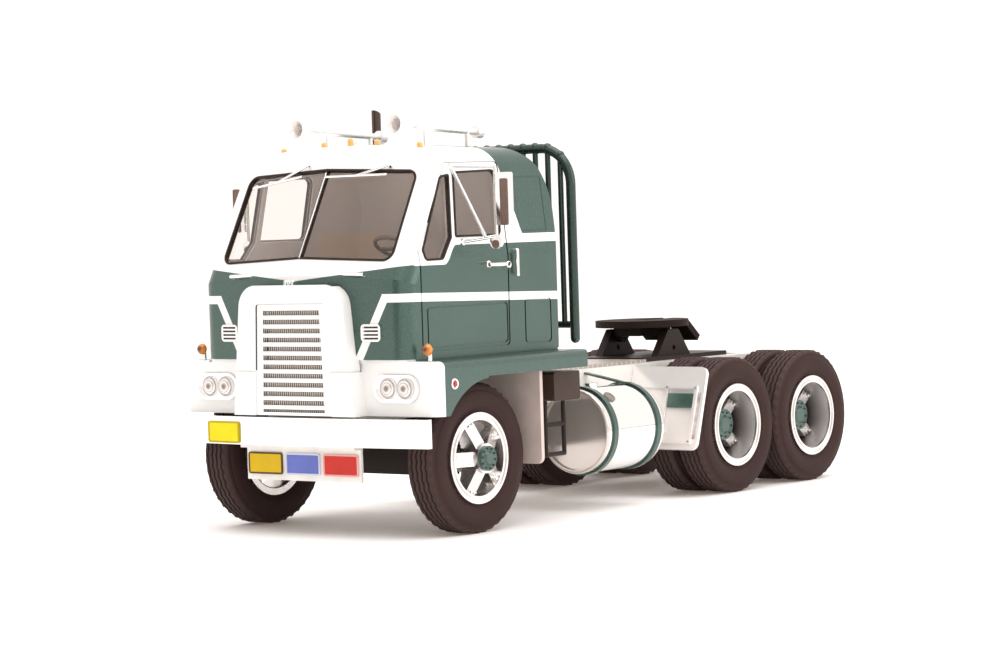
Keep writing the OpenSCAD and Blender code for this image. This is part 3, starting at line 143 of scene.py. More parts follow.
class Finish:
    """A material whose constant values are set on its shader, and whose varied ones come from nodes."""

    def __init__(self, name, colour, **values):
        self.material = bpy.data.materials.new(name)
        self.material.use_nodes = True
        self.tree = self.material.node_tree
        self.shader = self.tree.nodes["Principled BSDF"]
        self.feed("Base Color", colour)
        for socket, value in values.items():
            self.feed(socket.replace("_", " ").title().replace("Ior", "IOR"), value)

    def join(self, target, value):
        if isinstance(value, Wire):
            self.tree.links.new(value.socket, target)
        elif isinstance(value, (tuple, list)) and len(value) == 3 and target.type == "RGBA":
            target.default_value = (*value, 1)
        else:
            target.default_value = value

    def feed(self, socket, value):
        self.join(self.shader.inputs[socket], value)

    def fed(self, socket):
        """What feeds a socket of the shader so far."""
        return Wire(self, self.shader.inputs[socket].links[0].from_socket)

    def add(self, kind, settings, sockets, output=0):
        node = self.tree.nodes.new("ShaderNode" + kind)
        for key, value in settings.items():
            setattr(node, key, value)
        for key, value in sockets.items():
            self.join(node.inputs[key], value)
        return Wire(self, node.outputs[output])

    def parts(self, kind):
        """The three numbers of a texture coordinate, such as Object or Normal."""
        coordinates = self.add("TexCoord", {}, {}, kind)
        return [self.add("SeparateXYZ", {}, {0: coordinates}, k) for k in range(3)]

    def place(self):
        """Where a point is on the model, in millimetres: ahead of the datum, to the left, and up."""
        ahead, side, height = (part * (1 / MM) for part in self.parts("Object"))
        return ahead - DATUM_X, side, height

    def noise(self, size, detail=2):
        """Cloudy noise from 0 to 1 with spots of about this size in millimetres."""
        coordinates = self.add("TexCoord", {}, {}, "Object")
        return self.add("TexNoise", {}, {"Vector": coordinates, "Scale": 1 / (size * MM), "Detail": detail})

    def mix(self, factor, first, second):
        return self.add("Mix", {"data_type": "RGBA"}, {0: factor, 6: first, 7: second}, 2)

    def between(self, value, low, high, start=0, end=1, way="LINEAR"):
        """The value's way from low to high, as a number from start to end."""
        sockets = {0: value, 1: low, 2: high, 3: start, 4: end}
        return self.add("MapRange", {"interpolation_type": way}, sockets)

    def bump(self, height, depth):
        """Lets a height from 0 to 1 stand proud by a depth in millimetres."""
        self.feed("Normal", self.add("Bump", {}, {"Height": height, "Distance": depth * MM}))

    def dress(self, *names):
        for name in names:
            nodes[name].data.materials.clear()
            nodes[name].data.materials.append(self.material)
        dressed.extend(names)


def tint(colour, factor):
    """A colour made darker or brighter."""
    return tuple(min(1, factor * c) for c in colour)


def report(what):
    print(what + ",", len(dressed), "of", len(nodes), "solids dressed")


report("shader helpers ready")

# %% [markdown]
# ## Studio
# A collector's photograph has a white sweep under a large soft light. A big pale plane does for the
# sweep. The world is white as well, because bright plating shows nothing but its surroundings. A dark
# card stands in front, hidden from the camera, and gives the plating and the enamel something to
# reflect, as the dark parts of a real room do.

# %% Floor, lights and world
FLOOR_SIZE, CARD_SIZE = 6, 0.42
CARD_PLACE, CARD_TURN = (0.7, -0.03, 0.22), (0, math.radians(90), math.radians(-3))
ROOM_COLOUR, ROOM_STRENGTH = (1, 0.945, 0.915, 1), 1.16
MIDDLE = Vector((0, 0, 0.03))

sweep = Finish("white_sweep", (0.93, 0.93, 0.93), roughness=0.6, emission_strength=1.0,
               emission_color=(0.11, 0.085, 0.07))
bpy.ops.object.select_all(action="DESELECT")
bpy.ops.mesh.primitive_plane_add(size=FLOOR_SIZE, location=(0, 0, 0))
floor = bpy.context.active_object
floor.name = "floor"
floor.data.materials.append(sweep.material)

bpy.ops.object.select_all(action="DESELECT")
bpy.ops.mesh.primitive_plane_add(size=CARD_SIZE, location=CARD_PLACE, rotation=CARD_TURN)
card = bpy.context.active_object
card.name = "dark_card"
card.visible_camera = False
card.data.materials.append(Finish("card_black", (0.02, 0.02, 0.02), roughness=0.9).material)

for name, place, size, power in (("top_box", (0.05, 0.1, 0.75), 0.8, 4.5),
                                 ("left_box", (-0.25, 0.75, 0.35), 0.5, 1.5)):
    light = bpy.data.lights.new(name, "AREA")
    light.size, light.energy = size, power
    lamp = bpy.data.objects.new(name, light)
    lamp.location = place
    lamp.rotation_euler = (MIDDLE - Vector(place)).to_track_quat("-Z", "Y").to_euler()
    bpy.context.collection.objects.link(lamp)

world = bpy.data.worlds.new("white_room")
bpy.context.scene.world = world
world.use_nodes = True
room = world.node_tree.nodes["Background"].inputs
room["Color"].default_value, room["Strength"].default_value = ROOM_COLOUR, ROOM_STRENGTH
bpy.context.scene.view_settings.view_transform = "Standard"
print("floor, card, two lights and a white world")

# %% [markdown]
# ## Enamel in two colours
# The cab of the real model is sprayed green with fine metal flakes, masked, and sprayed white. The
# flakes are fine spots of noise, a little brighter than the paint, and larger clouds keep the colour
# from looking flat. Both colours lie under a clear coat.

# %% Green enamel with flakes
GREEN, WHITE = (0.045, 0.082, 0.069), (0.86, 0.855, 0.84)
FLAKE_SIZE, CLOUD_SIZE, FLAKE_SHINE = 0.14, 9, 2.2
ENAMEL_METAL, WHITE_FROM = 0.75, 10.2


def enamel(name, white_mask=None, painted_light_factor=1):
    """Green enamel under a clear coat, white where the mask is 1, made darker or lighter as painted shade or
    light.
    """
    finish = Finish(name, GREEN, coat_weight=0.5, coat_roughness=0.1, metallic=ENAMEL_METAL)
    flakes = finish.between(finish.noise(FLAKE_SIZE, 0), 0.45, 0.75)
    glitter = flakes * 0.5 + finish.noise(CLOUD_SIZE) * 0.25
    paint = finish.mix(glitter, tint(GREEN, painted_light_factor), tint(GREEN, FLAKE_SHINE * painted_light_factor))
    rough = finish.noise(5) * 0.08 + 0.33
    if white_mask:
        white = white_mask(finish)
        paint = finish.mix(white, paint, WHITE)
        rough = rough - white * 0.04
        finish.feed("Metallic", (1 - white) * ENAMEL_METAL)
    finish.feed("Base Color", paint)
    finish.feed("Roughness", rough)
    finish.bump(finish.noise(0.5, 3), 0.006)
    return finish


def body_white(finish):
    """The lower body is white at its front."""
    return finish.place()[0] > WHITE_FROM


body_enamel = enamel("body_enamel", body_white)
body_enamel.dress("lower_body")
green_enamel = enamel("green_enamel")
green_enamel.dress("tank_straps", "front_hub_caps", "rear_hub_caps_1", "rear_hub_caps_2")
# The rack's enamel is darker: painted shade for its thin bars.
enamel("rack_shaded_enamel", painted_light_factor=0.45).dress("cab_rack")
report("enamel on the body, straps, hub caps and rack")

# %% [markdown]
# The edge between the colours on the cab is a list of simple shapes on its sides and nose, so it can be
# worked out from a point's place: no picture is needed. Each shape is a mask of 0 or 1. A straight edge
# is given by two points on it, each as the distance along and the height there.

# %% Masked white and green enamel for the cab
NOSE_BACK, NOSE_X, NOSE_VEE, PROUD = 9.6, 14.1, math.tan(math.radians(4.2)), 0.06
BAND_EDGE = (0, 42.9), (21.0, 45.0)
DIAGONAL, DIAGONAL_HALF, DIAGONAL_TOP = ((29.8, 13.1), (39.2, 18.3)), 0.85, 40.4
STRIPE, STRIPE_HALF = ((10, 39.85), (-28.7, 38.8)), 0.7
CORNER_Y, CORNER_Z = 18.1, 39.85
BELT_MID, BELT_HALF = 48.95, 0.75
VENT_SILL = (-1.2, 48.2), (2.3, 45.0)
SLEEPER_SLANT = (49.8, -19.3), (61.0, -15.15)
CAB_BACK = -28.6


def slope(run, first, second):
    """Height of a straight edge through two points, where run is the distance along it."""
    (x0, z0), (x1, z1) = first, second
    return (run - x0) * ((z1 - z0) / (x1 - x0)) + z0


def cab_white(finish):
    """1 where the cab is white: the nose's bands and hood, the stripes, and the cab above its belt."""
    x, y, z = finish.place()
    away = abs(y)
    front = x > NOSE_BACK
    band = z > slope(away, *BAND_EDGE)
    foot = (abs(away - slope(z, *DIAGONAL)) < DIAGONAL_HALF) & (z < DIAGONAL_TOP)
    corner = (away > CORNER_Y) & (abs(z - CORNER_Z) < STRIPE_HALF)
    hood = x > NOSE_X + PROUD - away * NOSE_VEE
    nose = front & (band | foot | corner | hood)
    stripe = abs(z - slope(x, *STRIPE)) < STRIPE_HALF
    belt = abs(z - BELT_MID) < BELT_HALF
    (sill_back, sill_high), (sill_front, sill_low) = VENT_SILL
    sill = finish.between(x, sill_back, sill_front, sill_high, sill_low, "SMOOTHSTEP")
    upper = (z > sill) & (x > slope(z, *SLEEPER_SLANT))
    flank = (1 - front) & (stripe | belt | upper)
    return (nose | flank) & (x > CAB_BACK)


cab_enamel = enamel("cab_enamel", cab_white)
cab_enamel.dress("cab_shell")
report("two colours on the cab")

# %% [markdown]
# A panel is pressed into the sleeper's side, so shallow that only its edge shows. That edge is painted
# shade:
# a dark line along a rectangle, found in the same way and strongest along its rear edge, where the step is
# in shadow.

# %% Painted shade along the pressed panel on the sleeper
PANEL_X, PANEL_Z, PANEL_LONG, PANEL_TALL = -22.5, 54.8, 3.65, 4.6
LINE_HALF, REAR_HALF, FLANK_Y = 0.13, 0.17, 20

cab_x, cab_y, cab_z = cab_enamel.place()
over_x = abs(cab_x - PANEL_X) - PANEL_LONG
over_z = abs(cab_z - PANEL_Z) - PANEL_TALL
rear_edge_shade = (abs(over_x) < REAR_HALF) & (over_z < 0) & (cab_x < PANEL_X)
outline_shade = abs(over_x | over_z) < LINE_HALF
panel_edge_shade = (outline_shade * 0.3 | rear_edge_shade * 0.75) & (abs(cab_y) > FLANK_Y)
cab_enamel.feed("Base Color", cab_enamel.mix(panel_edge_shade, cab_enamel.fed("Base Color"), (0.012, 0.03, 0.026)))
print("panel line on both sides of the sleeper")

# %% [markdown]
# The cab casting is sprayed outside only. Its inside is bare and greyish tan, warmer where the bunk is.
# A face looks outwards where its normal points away from the cab's middle, so the sign of that product
# tells the inside from the outside. The narrow grooves round the doors have such faces too, but close
# to the skin, and they get painted shade: a dark colour for the shadow inside them.

# %% Bare lining inside the cab
LINING, BUNK_TAN, GROOVE_SHADE = (1.0, 0.95, 0.91), (0.98, 0.84, 0.7), (0.022, 0.034, 0.03)
SKIN_Y, BELT_Z, TUCK = 23.1, 45.9, 0.131
GROOVE_DEPTH, SCREEN_FOOT_X = 0.75, 11.9
CAB_MIDDLE = (-8, 0, 46)
BUNK_X, BUNK_Y, BUNK_Z = (-14.5, -18.5), (14, 18), (51.2, 49.8)


def skin_at(z):
    """How far the cab's side is from the model's middle: it tucks in above the belt."""
    return SKIN_Y - (z - BELT_Z | 0) * TUCK


normals = cab_enamel.parts("Normal")
products = [(p - middle) * n for p, middle, n in zip((cab_x, cab_y, cab_z), CAB_MIDDLE, normals)]
inwards = products[0] + products[1] + products[2] < 0
within = (abs(cab_y) < skin_at(cab_z) - GROOVE_DEPTH) & (cab_x < SCREEN_FOOT_X)
groove_shade, inside = inwards & (1 - within), inwards & within
bunk = cab_enamel.between(cab_z, *BUNK_Z) * cab_enamel.between(cab_x, *BUNK_X)
bunk = bunk * cab_enamel.between(abs(cab_y), *BUNK_Y)
hazy = cab_enamel.mix(cab_enamel.noise(11, 3), LINING, tint(LINING, 0.78))
# Painted shade: the groove faces are dark where shadow would fall.
groove_shaded = cab_enamel.mix(groove_shade, cab_enamel.fed("Base Color"), GROOVE_SHADE)
cab_enamel.feed("Base Color", cab_enamel.mix(inside, groove_shaded, cab_enamel.mix(bunk, hazy, BUNK_TAN)))
cab_enamel.feed("Metallic", cab_enamel.fed("Metallic") * (1 - inside))
cab_enamel.feed("Roughness", cab_enamel.fed("Roughness") + inside * 0.35)
cab_enamel.feed("Coat Weight", (1 - inside) * 0.5)
print("lining inside the cab")

# %% [markdown]
# ## Bright plating
# Vacuum-plated plastic is a mirror with very slight waves in it and a faint haze from handling. A metal
# at low roughness gives the mirror, and two noises give the waves and the haze. The horns are satin, and
# the pins that carry the wheels are plain drawn steel.

# %% Plating, satin and steel
PLATED = (0.9, 0.9, 0.89)


def metal(name, colour, rough, haze=0.06, wave=0.004, wave_size=2.2):
    finish = Finish(name, colour, metallic=1.0)
    finish.feed("Roughness", finish.noise(3.5, 4) * haze + rough)
    finish.bump(finish.noise(wave_size), wave)
    return finish


plating = metal("bright_plating", PLATED, 0.05)
plating.dress("wipers", "front_grab_handles", "mirrors", "door_handles", "grille", "headlamp_bezels",
              "bumper", "signal_cups")
horn_satin = metal("horn_satin", (0.9, 0.87, 0.85), 0.26)
horn_satin.feed("Metallic", horn_satin.noise(4) * 0.1 + 0.6)
horn_satin.dress("air_horns")
drawn_steel = metal("drawn_steel", (0.55, 0.54, 0.52), 0.3, 0.15, 0.004, 0.4)
drawn_steel.dress("front_axle_pin", "rear_axle_pin_1", "rear_axle_pin_2")
report("plating, satin and steel")

# %% [markdown]
# The fuel tanks are plated drums in two halves. A fine dark line marks the seam between the halves, and
# the flat ends are darker, browner and less metallic.

# %% Fuel tanks
TANK_SEAM_Z, SEAM_HALF, TANK_MIDDLE_X, TANK_HALF = 14.55, 0.07, -46.3, 8.0

tank_plating = metal("tank_plating", PLATED, 0.07)
tank_x, _, tank_z = tank_plating.place()
tank_seam = abs(tank_z - TANK_SEAM_Z) < SEAM_HALF
tank_end = abs(tank_x - TANK_MIDDLE_X) > TANK_HALF
tank_shell = tank_plating.mix(tank_seam, PLATED, (0.5, 0.46, 0.43))
tank_plating.feed("Base Color", tank_plating.mix(tank_end, tank_shell, (0.64, 0.58, 0.54)))
tank_plating.feed("Metallic", 1 - tank_end * 0.4)
tank_plating.dress("fuel_tanks")
report("plated tanks")

# %% [markdown]
# The wheels are sprayed silver, and are dark brown and not metallic on their inner sides near the hub.
# Down the deep barrel of the twin wheels the silver darkens with depth as painted shade. Both places are
# found from the distance to the nearest axle and from the distance to the model's middle.

# %% Silver wheels, dark inside, with painted shade down the barrel
AXLE_Z = 12.6
AXLES = {"front": -1.9, "rear_1": -78.6, "rear_2": -104.4}
RIM_SILVER, INNER_BROWN, BARREL_SHADE_COLOUR = (0.78, 0.75, 0.73), (0.05, 0.033, 0.027), (0.07, 0.055, 0.05)
MID_X, REAR_INNER_Y, FRONT_INNER_Y, HUB_R = -40, 14.6, 21.2, 6.5
BARREL_R, BARREL_END_R, LIP_Y = 6.2, 6.7, 25.6
SHADE_FROM_Y, SHADE_FULL_Y = 25.4, 20.6


def from_axle(finish):
    """How far a point is from the nearest wheel's axis, in millimetres."""
    x, _, z = finish.place()
    nearest = abs(x - AXLES["front"]) & abs(x - AXLES["rear_1"]) & abs(x - AXLES["rear_2"])
    return reach(nearest, z - AXLE_Z)


wheel_silver = metal("wheel_silver", RIM_SILVER, 0.22, 0.1, 0.006, 0.8)
wheel_x, wheel_y, _ = wheel_silver.place()
wheel_r, wheel_side = from_axle(wheel_silver), abs(wheel_y)
in_front = wheel_x > MID_X
inner_y = in_front * (FRONT_INNER_Y - REAR_INNER_Y) + REAR_INNER_Y
inner_dark = (wheel_side < inner_y) & (wheel_r < HUB_R)
sunk = (wheel_r < BARREL_END_R) & (wheel_side < LIP_Y) & (1 - in_front)
# Painted shade: the barrel of a rear wheel darkens with depth, where less light reaches.
barrel_shade = wheel_silver.between(wheel_side, SHADE_FROM_Y, SHADE_FULL_Y) * ((wheel_r > BARREL_R) & sunk)
silver = wheel_silver.mix(barrel_shade, RIM_SILVER, BARREL_SHADE_COLOUR)
wheel_silver.feed("Base Color", wheel_silver.mix(inner_dark, silver, INNER_BROWN))
wheel_silver.feed("Metallic", (1 - inner_dark) * (1 - sunk * 0.35))
wheel_silver.feed("Roughness", wheel_silver.fed("Roughness") + sunk * 0.1)
wheel_silver.dress("front_rims", "rear_rims_1", "rear_rims_2")
report("silver on three sets of wheels")

# %% [markdown]
# Three plated pieces carry something more. The vents have painted shade in their slots, the stack is sooty
# at its mouth with painted shade down its bore, and the guards are stamped from duller sheet with painted
# reflections near their outer edge. Each is the same plating with one mask, found from the drawing's own
# numbers.

# %% Painted shade in the vent slots
VENT_Y, VENT_Z, VENT_FACE, VENT_HALF_H, VENT_HALF_W = 16.0, 34.19, 0.32, 1.2, 1.55

vent_plating = metal("vent_plating", PLATED, 0.05)
vent_x, vent_y, vent_z = vent_plating.place()
below_face = vent_x < NOSE_X + VENT_FACE - abs(vent_y) * NOSE_VEE
inside_rim = (abs(vent_z - VENT_Z) < VENT_HALF_H) & (abs(abs(vent_y) - VENT_Y) < VENT_HALF_W)
slot_shade = below_face & inside_rim
# The slots' floors are painted near black as shade.
vent_plating.feed("Base Color", vent_plating.mix(slot_shade, PLATED, (0.035, 0.02, 0.016)))
vent_plating.feed("Metallic", 1 - slot_shade)
vent_plating.dress("front_vents")
report("painted vents")

# %% Soot on the stack, and painted shade down its bore
STACK_X, STACK_Y, STACK_BORE, BORE_FOOT, SOOT_Z, SOOT_WAVE = -30.75, -19.3, 0.68, 60, 65.9, 1.5

stack_plating = metal("stack_plating", PLATED, 0.06)
stack_x, stack_y, stack_z = stack_plating.place()
# The bore is painted dark as shade. The noisy band at the top is soot.
bore_shade = (reach(stack_x - STACK_X, stack_y - STACK_Y) < STACK_BORE) & (stack_z > BORE_FOOT)
soot_and_bore_shade = bore_shade | (stack_z > stack_plating.noise(2) * SOOT_WAVE + SOOT_Z)
stack_plating.feed("Base Color", stack_plating.mix(soot_and_bore_shade, PLATED, (0.06, 0.032, 0.024)))
stack_plating.feed("Metallic", 1 - soot_and_bore_shade)
stack_plating.dress("exhaust_stack")
report("sooty stack")

# %% Duller sheet for the guards, with painted reflections
SHEET = (0.95, 0.92, 0.9)
REFLECTION_Y, REFLECTION_HALF, REFLECTION_Z, REFLECTION_TALL = 26.05, 0.4, 15.2, 4.2

guard_sheet = metal("guard_sheet", SHEET, 0.16, 0.1, 0.004, 1.4)
_, guard_y, guard_z = guard_sheet.place()
# Painted reflection: brown patches near each guard's outer edge.
reflection_band = (abs(abs(guard_y) - REFLECTION_Y) < REFLECTION_HALF) & (abs(guard_z - REFLECTION_Z) < REFLECTION_TALL)
reflection_patches = reflection_band * guard_sheet.between(guard_sheet.noise(2.5), 0.3, 0.65)
guard_sheet.feed("Base Color", guard_sheet.mix(reflection_patches, SHEET, (0.42, 0.35, 0.32)))
guard_sheet.feed("Metallic", guard_sheet.noise(6) * 0.1 + 0.3)
guard_sheet.dress("quarter_guards")
report("stamped guards")

# %% [markdown]
# ## Chequer plate
# The deck behind the cab is pressed with small raised bars that stand crosswise to their neighbours. Two
# sets of stretched spots, turned by a quarter and set in alternate cells, make that pattern as a height
# for a Bump node. The same height paints the bars lighter than the plate between them: a painted
# highlight on their tops.

# %% Chequer plate for the deck
BAR_PITCH, BAR_HEIGHT = 1.5, 0.25
LONG_WAY, SHORT_WAY = 2.2, 6

chequer = Finish("chequer_plate", (0.58, 0.52, 0.47), metallic=0.5)
deck_x, deck_y, _ = chequer.place()
u, v = (deck_x + deck_y) / BAR_PITCH, (deck_x - deck_y) / BAR_PITCH
cells = u.floor() + v.floor()
odd = abs(cells.maths("MODULO", cells, 2))
du, dv = abs(u.fraction() - 0.5), abs(v.fraction() - 0.5)
along_u = 1 - ((du * LONG_WAY) ** 2 + (dv * SHORT_WAY) ** 2)
along_v = 1 - ((du * SHORT_WAY) ** 2 + (dv * LONG_WAY) ** 2)
bars = chequer.between(along_u * odd + along_v * (1 - odd), 0, 0.5)
# Painted highlight: the raised bars are lighter than the plate.
chequer.feed("Base Color", chequer.mix(bars, (0.46, 0.4, 0.36), (0.74, 0.68, 0.63)))
chequer.feed("Roughness", chequer.noise(2, 3) * 0.2 + 0.28)
chequer.bump(bars, BAR_HEIGHT)
chequer.dress("deck_plate")
report("chequer plate on the deck")

# %% [markdown]
# ## Plastics, rubber and trim
# The moulded pieces differ mainly in colour and gloss, so one function makes them all: a colour with
# light and dark clouds, a roughness with the same clouds, and a fine grain from the mould.

# %% Moulded plastics and the painted frame
DULL = {"specular_ior_level": 0.2}
VERY_DULL = {"specular_ior_level": 0.1}


def moulded(name, colour, rough, grain=0.01, grain_size=0.25, **values):
    finish = Finish(name, colour, **values)
    clouds = finish.noise(4, 3)
    finish.feed("Base Color", finish.mix(clouds, tint(colour, 0.8), tint(colour, 1.2)))
    finish.feed("Roughness", clouds * 0.16 + (rough - 0.08))
    finish.bump(finish.noise(grain_size, 3), grain)
    return finish


moulded("black_moulding", (0.021, 0.0125, 0.01), 0.44, **DULL).dress(
    "engine_block", "front_axle_beam", "rear_axle_housings", "springs", "step_frames", "fifth_wheel_base")
moulded("dull_black", (0.018, 0.011, 0.009), 0.62, 0.02, 0.5, **VERY_DULL).dress("fifth_wheel_plate")
moulded("wheel_brown", (0.15, 0.11, 0.09), 0.5, **DULL).dress("steering_wheel")
moulded("box_brown", (0.055, 0.034, 0.027), 0.5, **DULL).dress("battery_boxes")
moulded("tan_trim", (0.45, 0.36, 0.31), 0.6, 0.03, 0.35, **DULL).dress("cab_interior")
moulded("seat_tan", (0.4, 0.27, 0.2), 0.6, 0.03, 0.35, **DULL).dress("seats")
moulded("grey_moulding", (0.36, 0.34, 0.32), 0.5).dress("drive_shafts")
moulded("flap_plastic", (0.6, 0.5, 0.46), 0.4).dress("front_flaps")
moulded("frame_enamel", (0.8, 0.78, 0.74), 0.35, coat_weight=0.3).dress("chassis_frame", "plate_panel")
moulded("red_lens", (0.42, 0.03, 0.02), 0.15, coat_weight=0.4).dress("side_markers", "tail_lamps")
report("plain mouldings")

# %% [markdown]
# Two rubbers need a mask. The window gaskets are black outside, and inside the cab they take the
# lining's pale colour. The tyres are paler on the tread than on their walls.

# %% Gaskets and tyre rubber
GASKET_Y, GASKET_LIP, GASKET_FRONT = 19.9, 0.5, 7.5
PALE_FROM, PALE_FULL = 11.9, 12.3

gasket_black = moulded("gasket_black", (0.024, 0.014, 0.011), 0.5, **DULL)
rim_x, rim_y, rim_z = gasket_black.place()
rim_inside = (abs(rim_y) > GASKET_Y) & (abs(rim_y) < skin_at(rim_z) - GASKET_LIP) & (rim_x < GASKET_FRONT)
pale_rim = gasket_black.mix(rim_inside, gasket_black.fed("Base Color"), (0.42, 0.36, 0.33))
gasket_black.feed("Base Color", pale_rim)
gasket_black.dress("window_gaskets")

tyre_rubber = moulded("tyre_rubber", (0.039, 0.0215, 0.019), 0.62, 0.02, 0.3, **VERY_DULL)
tread_share = tyre_rubber.between(from_axle(tyre_rubber), PALE_FROM, PALE_FULL)
pale_tread = tyre_rubber.mix(tread_share, tyre_rubber.fed("Base Color"), (0.06, 0.038, 0.034))
tyre_rubber.feed("Base Color", pale_tread)
tyre_rubber.dress("front_tyres", "rear_tyres_1", "rear_tyres_2")
report("gaskets and tyres")

# %% [markdown]
# ## Lamps
# The amber lenses are clear plastic over a dark bulb, which shows as a darker middle. The roof markers
# have a plated tail behind the lens. The headlamps are pale reflectors with a darker bulb. The fine ring
# pressed into their glass, the lens's edge and the groove of the plated ring round it are dark lines of
# painted shade. Bulbs and rings are found from the distance to a lamp's middle.

# %% Amber lenses
SIGNAL_Y, SIGNAL_Z, BULB_R, LENS_R = 25.5, 31.28, 0.2, 0.95
MARKER_X = -1.65

signal_lens = moulded("signal_lens", (0.68, 0.25, 0.015), 0.12, coat_weight=0.6)
_, signal_y, signal_z = signal_lens.place()
off_bulb = reach(abs(signal_y) - SIGNAL_Y, signal_z - SIGNAL_Z)
glow = signal_lens.between(off_bulb, BULB_R, LENS_R)
signal_lens.feed("Base Color", signal_lens.mix(glow, (0.07, 0.011, 0.002), (0.72, 0.23, 0.006)))
signal_lens.dress("turn_signals")

marker_lens = moulded("marker_lens", (0.68, 0.28, 0.03), 0.12, coat_weight=0.6)
tail = marker_lens.place()[0] < MARKER_X
marker_lens.feed("Base Color", marker_lens.mix(tail, (0.78, 0.42, 0.12), (0.85, 0.84, 0.83)))
marker_lens.feed("Metallic", tail)
marker_lens.dress("roof_markers")
report("amber lenses")

# %% Headlamp lenses, with painted shade lines
LAMP_Y, LAMP_Z, LAMP_PITCH = 20.2, 24.99, 3.65
LAMP_SHADE_LINES = (0.98, 0.06), (1.4, 0.05), (1.6, 0.05)

clear_lens = metal("clear_lens", (0.85, 0.83, 0.81), 0.28, 0.1, 0.02, 0.5)
_, lens_y, lens_z = clear_lens.place()
lens_r = reach(abs(abs(lens_y) - LAMP_Y) - LAMP_PITCH / 2, lens_z - LAMP_Z)
bulb_and_shade_lines = clear_lens.between(lens_r, 0.3, 0.75, 1, 0)
for radius, half in LAMP_SHADE_LINES:
    bulb_and_shade_lines = bulb_and_shade_lines | (abs(lens_r - radius) < half) * 0.75
clear_lens.feed("Base Color", clear_lens.mix(bulb_and_shade_lines, (0.88, 0.85, 0.83), (0.26, 0.2, 0.17)))
clear_lens.feed("Metallic", clear_lens.noise(2) * 0.1 + 0.3)
clear_lens.dress("headlamp_lenses")
report("headlamp lenses")

# %% [markdown]
# ## Mesh behind the grille
# Behind the louvres of the grille lies a plate with fine upright ribs. Stripes across the model, two to
# the millimetre, are enough at this size: the ribs are bright, and the gaps between them are black as
# painted shade.

# %% Ribbed mesh plate
RIBS_PER_MM, RIB_HEIGHT = 2.1, 0.1

mesh_plate = Finish("grille_mesh", (0.1, 0.08, 0.07), roughness=0.4)
across = mesh_plate.place()[1] * RIBS_PER_MM
rib = mesh_plate.between(abs(across.fraction() - 0.5), 0.12, 0.3)
# The gaps between the ribs are painted near black as shade.
mesh_plate.feed("Base Color", mesh_plate.mix(rib, (0.03, 0.022, 0.019), (0.8, 0.72, 0.67)))
mesh_plate.feed("Metallic", rib * 0.6)
mesh_plate.bump(rib, RIB_HEIGHT)
mesh_plate.dress("grille_backing")
report("mesh plate")

# %% [markdown]
# ## Glass
# The glazing is one clear moulding, seen through and only faintly reflecting. A transparent shader and a
# glossy one are mixed by how far a face is turned away, so that the panes brighten at a grazing angle as
# real glass does. A Fresnel node would also count the pane's inner side as a total mirror, because a
# transparent shader doesn't bend light, and so Layer Weight is used.

# %% Clear glazing
GLASS_TINT, GLASS_GLOSS, GLASS_LEAST = (0.985, 0.975, 0.965), 0.6, 0.02

glass = Finish("clear_glazing", GLASS_TINT)
clear = glass.add("BsdfTransparent", {}, {"Color": GLASS_TINT})
shine = glass.add("BsdfGlossy", {}, {"Color": (1, 1, 1), "Roughness": 0.04})
turned_away = glass.add("LayerWeight", {}, {"Blend": 0.5}, "Facing")
pane = glass.add("MixShader", {}, {0: turned_away ** 4 * GLASS_GLOSS + GLASS_LEAST, 1: clear, 2: shine})
glass.tree.links.new(pane.socket, glass.tree.nodes["Material Output"].inputs["Surface"])
glass.dress("windscreen_glass", "side_glass")
report("glazing")

# %% [markdown]
# ## Modelling by hand
# The small pieces are modelled as one would at the keyboard: add a primitive, open it in edit mode,
# select by place, extrude, bevel or spin. A few helpers keep that short. An operator acts on all that
# is selected, so `begin` deselects everything first, and `pick` chooses by a test on place or normal.

# %% Helpers for modelling
def at(ahead, side, height):
    """A place on the model, in metres, from millimetres ahead of the datum, to the left and up."""
    return Vector((ahead + DATUM_X, side, height)) * MM


def solid_box(node):
    """A solid's lowest and highest corners in the drawing's millimetres."""
    return [corner / MM - Vector((DATUM_X, 0, 0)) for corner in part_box(node)]


def begin(name, kind, **settings):
    """Adds a primitive and opens it in edit mode with all of it selected."""
    bpy.ops.object.select_all(action="DESELECT")
    getattr(bpy.ops.mesh, "primitive_" + kind + "_add")(**settings)
    piece = bpy.context.active_object
    piece.name = piece.data.name = name
    bpy.ops.object.transform_apply(location=True, rotation=True, scale=True)
    bpy.ops.object.mode_set(mode="EDIT")
    bpy.ops.mesh.select_mode(type="VERT")
    bpy.ops.mesh.select_all(action="SELECT")
    return piece


def pick(piece, test, kind="polygons"):
    """Selects the piece's faces, edges or vertices that pass a test, in the mode that fits them."""
    bpy.ops.object.mode_set(mode="OBJECT")
    for group in (piece.data.vertices, piece.data.edges, piece.data.polygons):
        group.foreach_set("select", [False] * len(group))
    for part in getattr(piece.data, kind):
        part.select = test(part)
    bpy.context.tool_settings.mesh_select_mode = [kind == k for k in ("vertices", "edges", "polygons")]
    bpy.ops.object.mode_set(mode="EDIT")


def resize(size):
    """Scales what is selected about the origin to these three sizes."""
    bpy.ops.transform.resize(value=size, center_override=(0, 0, 0))


def draw_out(x, y, z):
    """Extrudes the selected faces by a vector in millimetres."""
    bpy.ops.mesh.extrude_region_move(TRANSFORM_OT_translate={"value": (x * MM, y * MM, z * MM)})


def settle(piece, finish, body="chassis", angle=32):
    """Smooths the shading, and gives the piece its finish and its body."""
    bpy.ops.object.shade_smooth_by_angle(angle=math.radians(angle))
    piece.data.materials.append(finish.material)
    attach(piece, body)


print("modelling helpers ready")

# %% [markdown]
# What is round here is turned as on a lathe: `turned` draws a section from one vertex and spins it about
# the Y axis, the axis of every wheel. What repeats is modelled once: `repeat` copies a finished mesh to a
# list of places and joins the copies, and `mirrored` adds the places on the other side of the model.

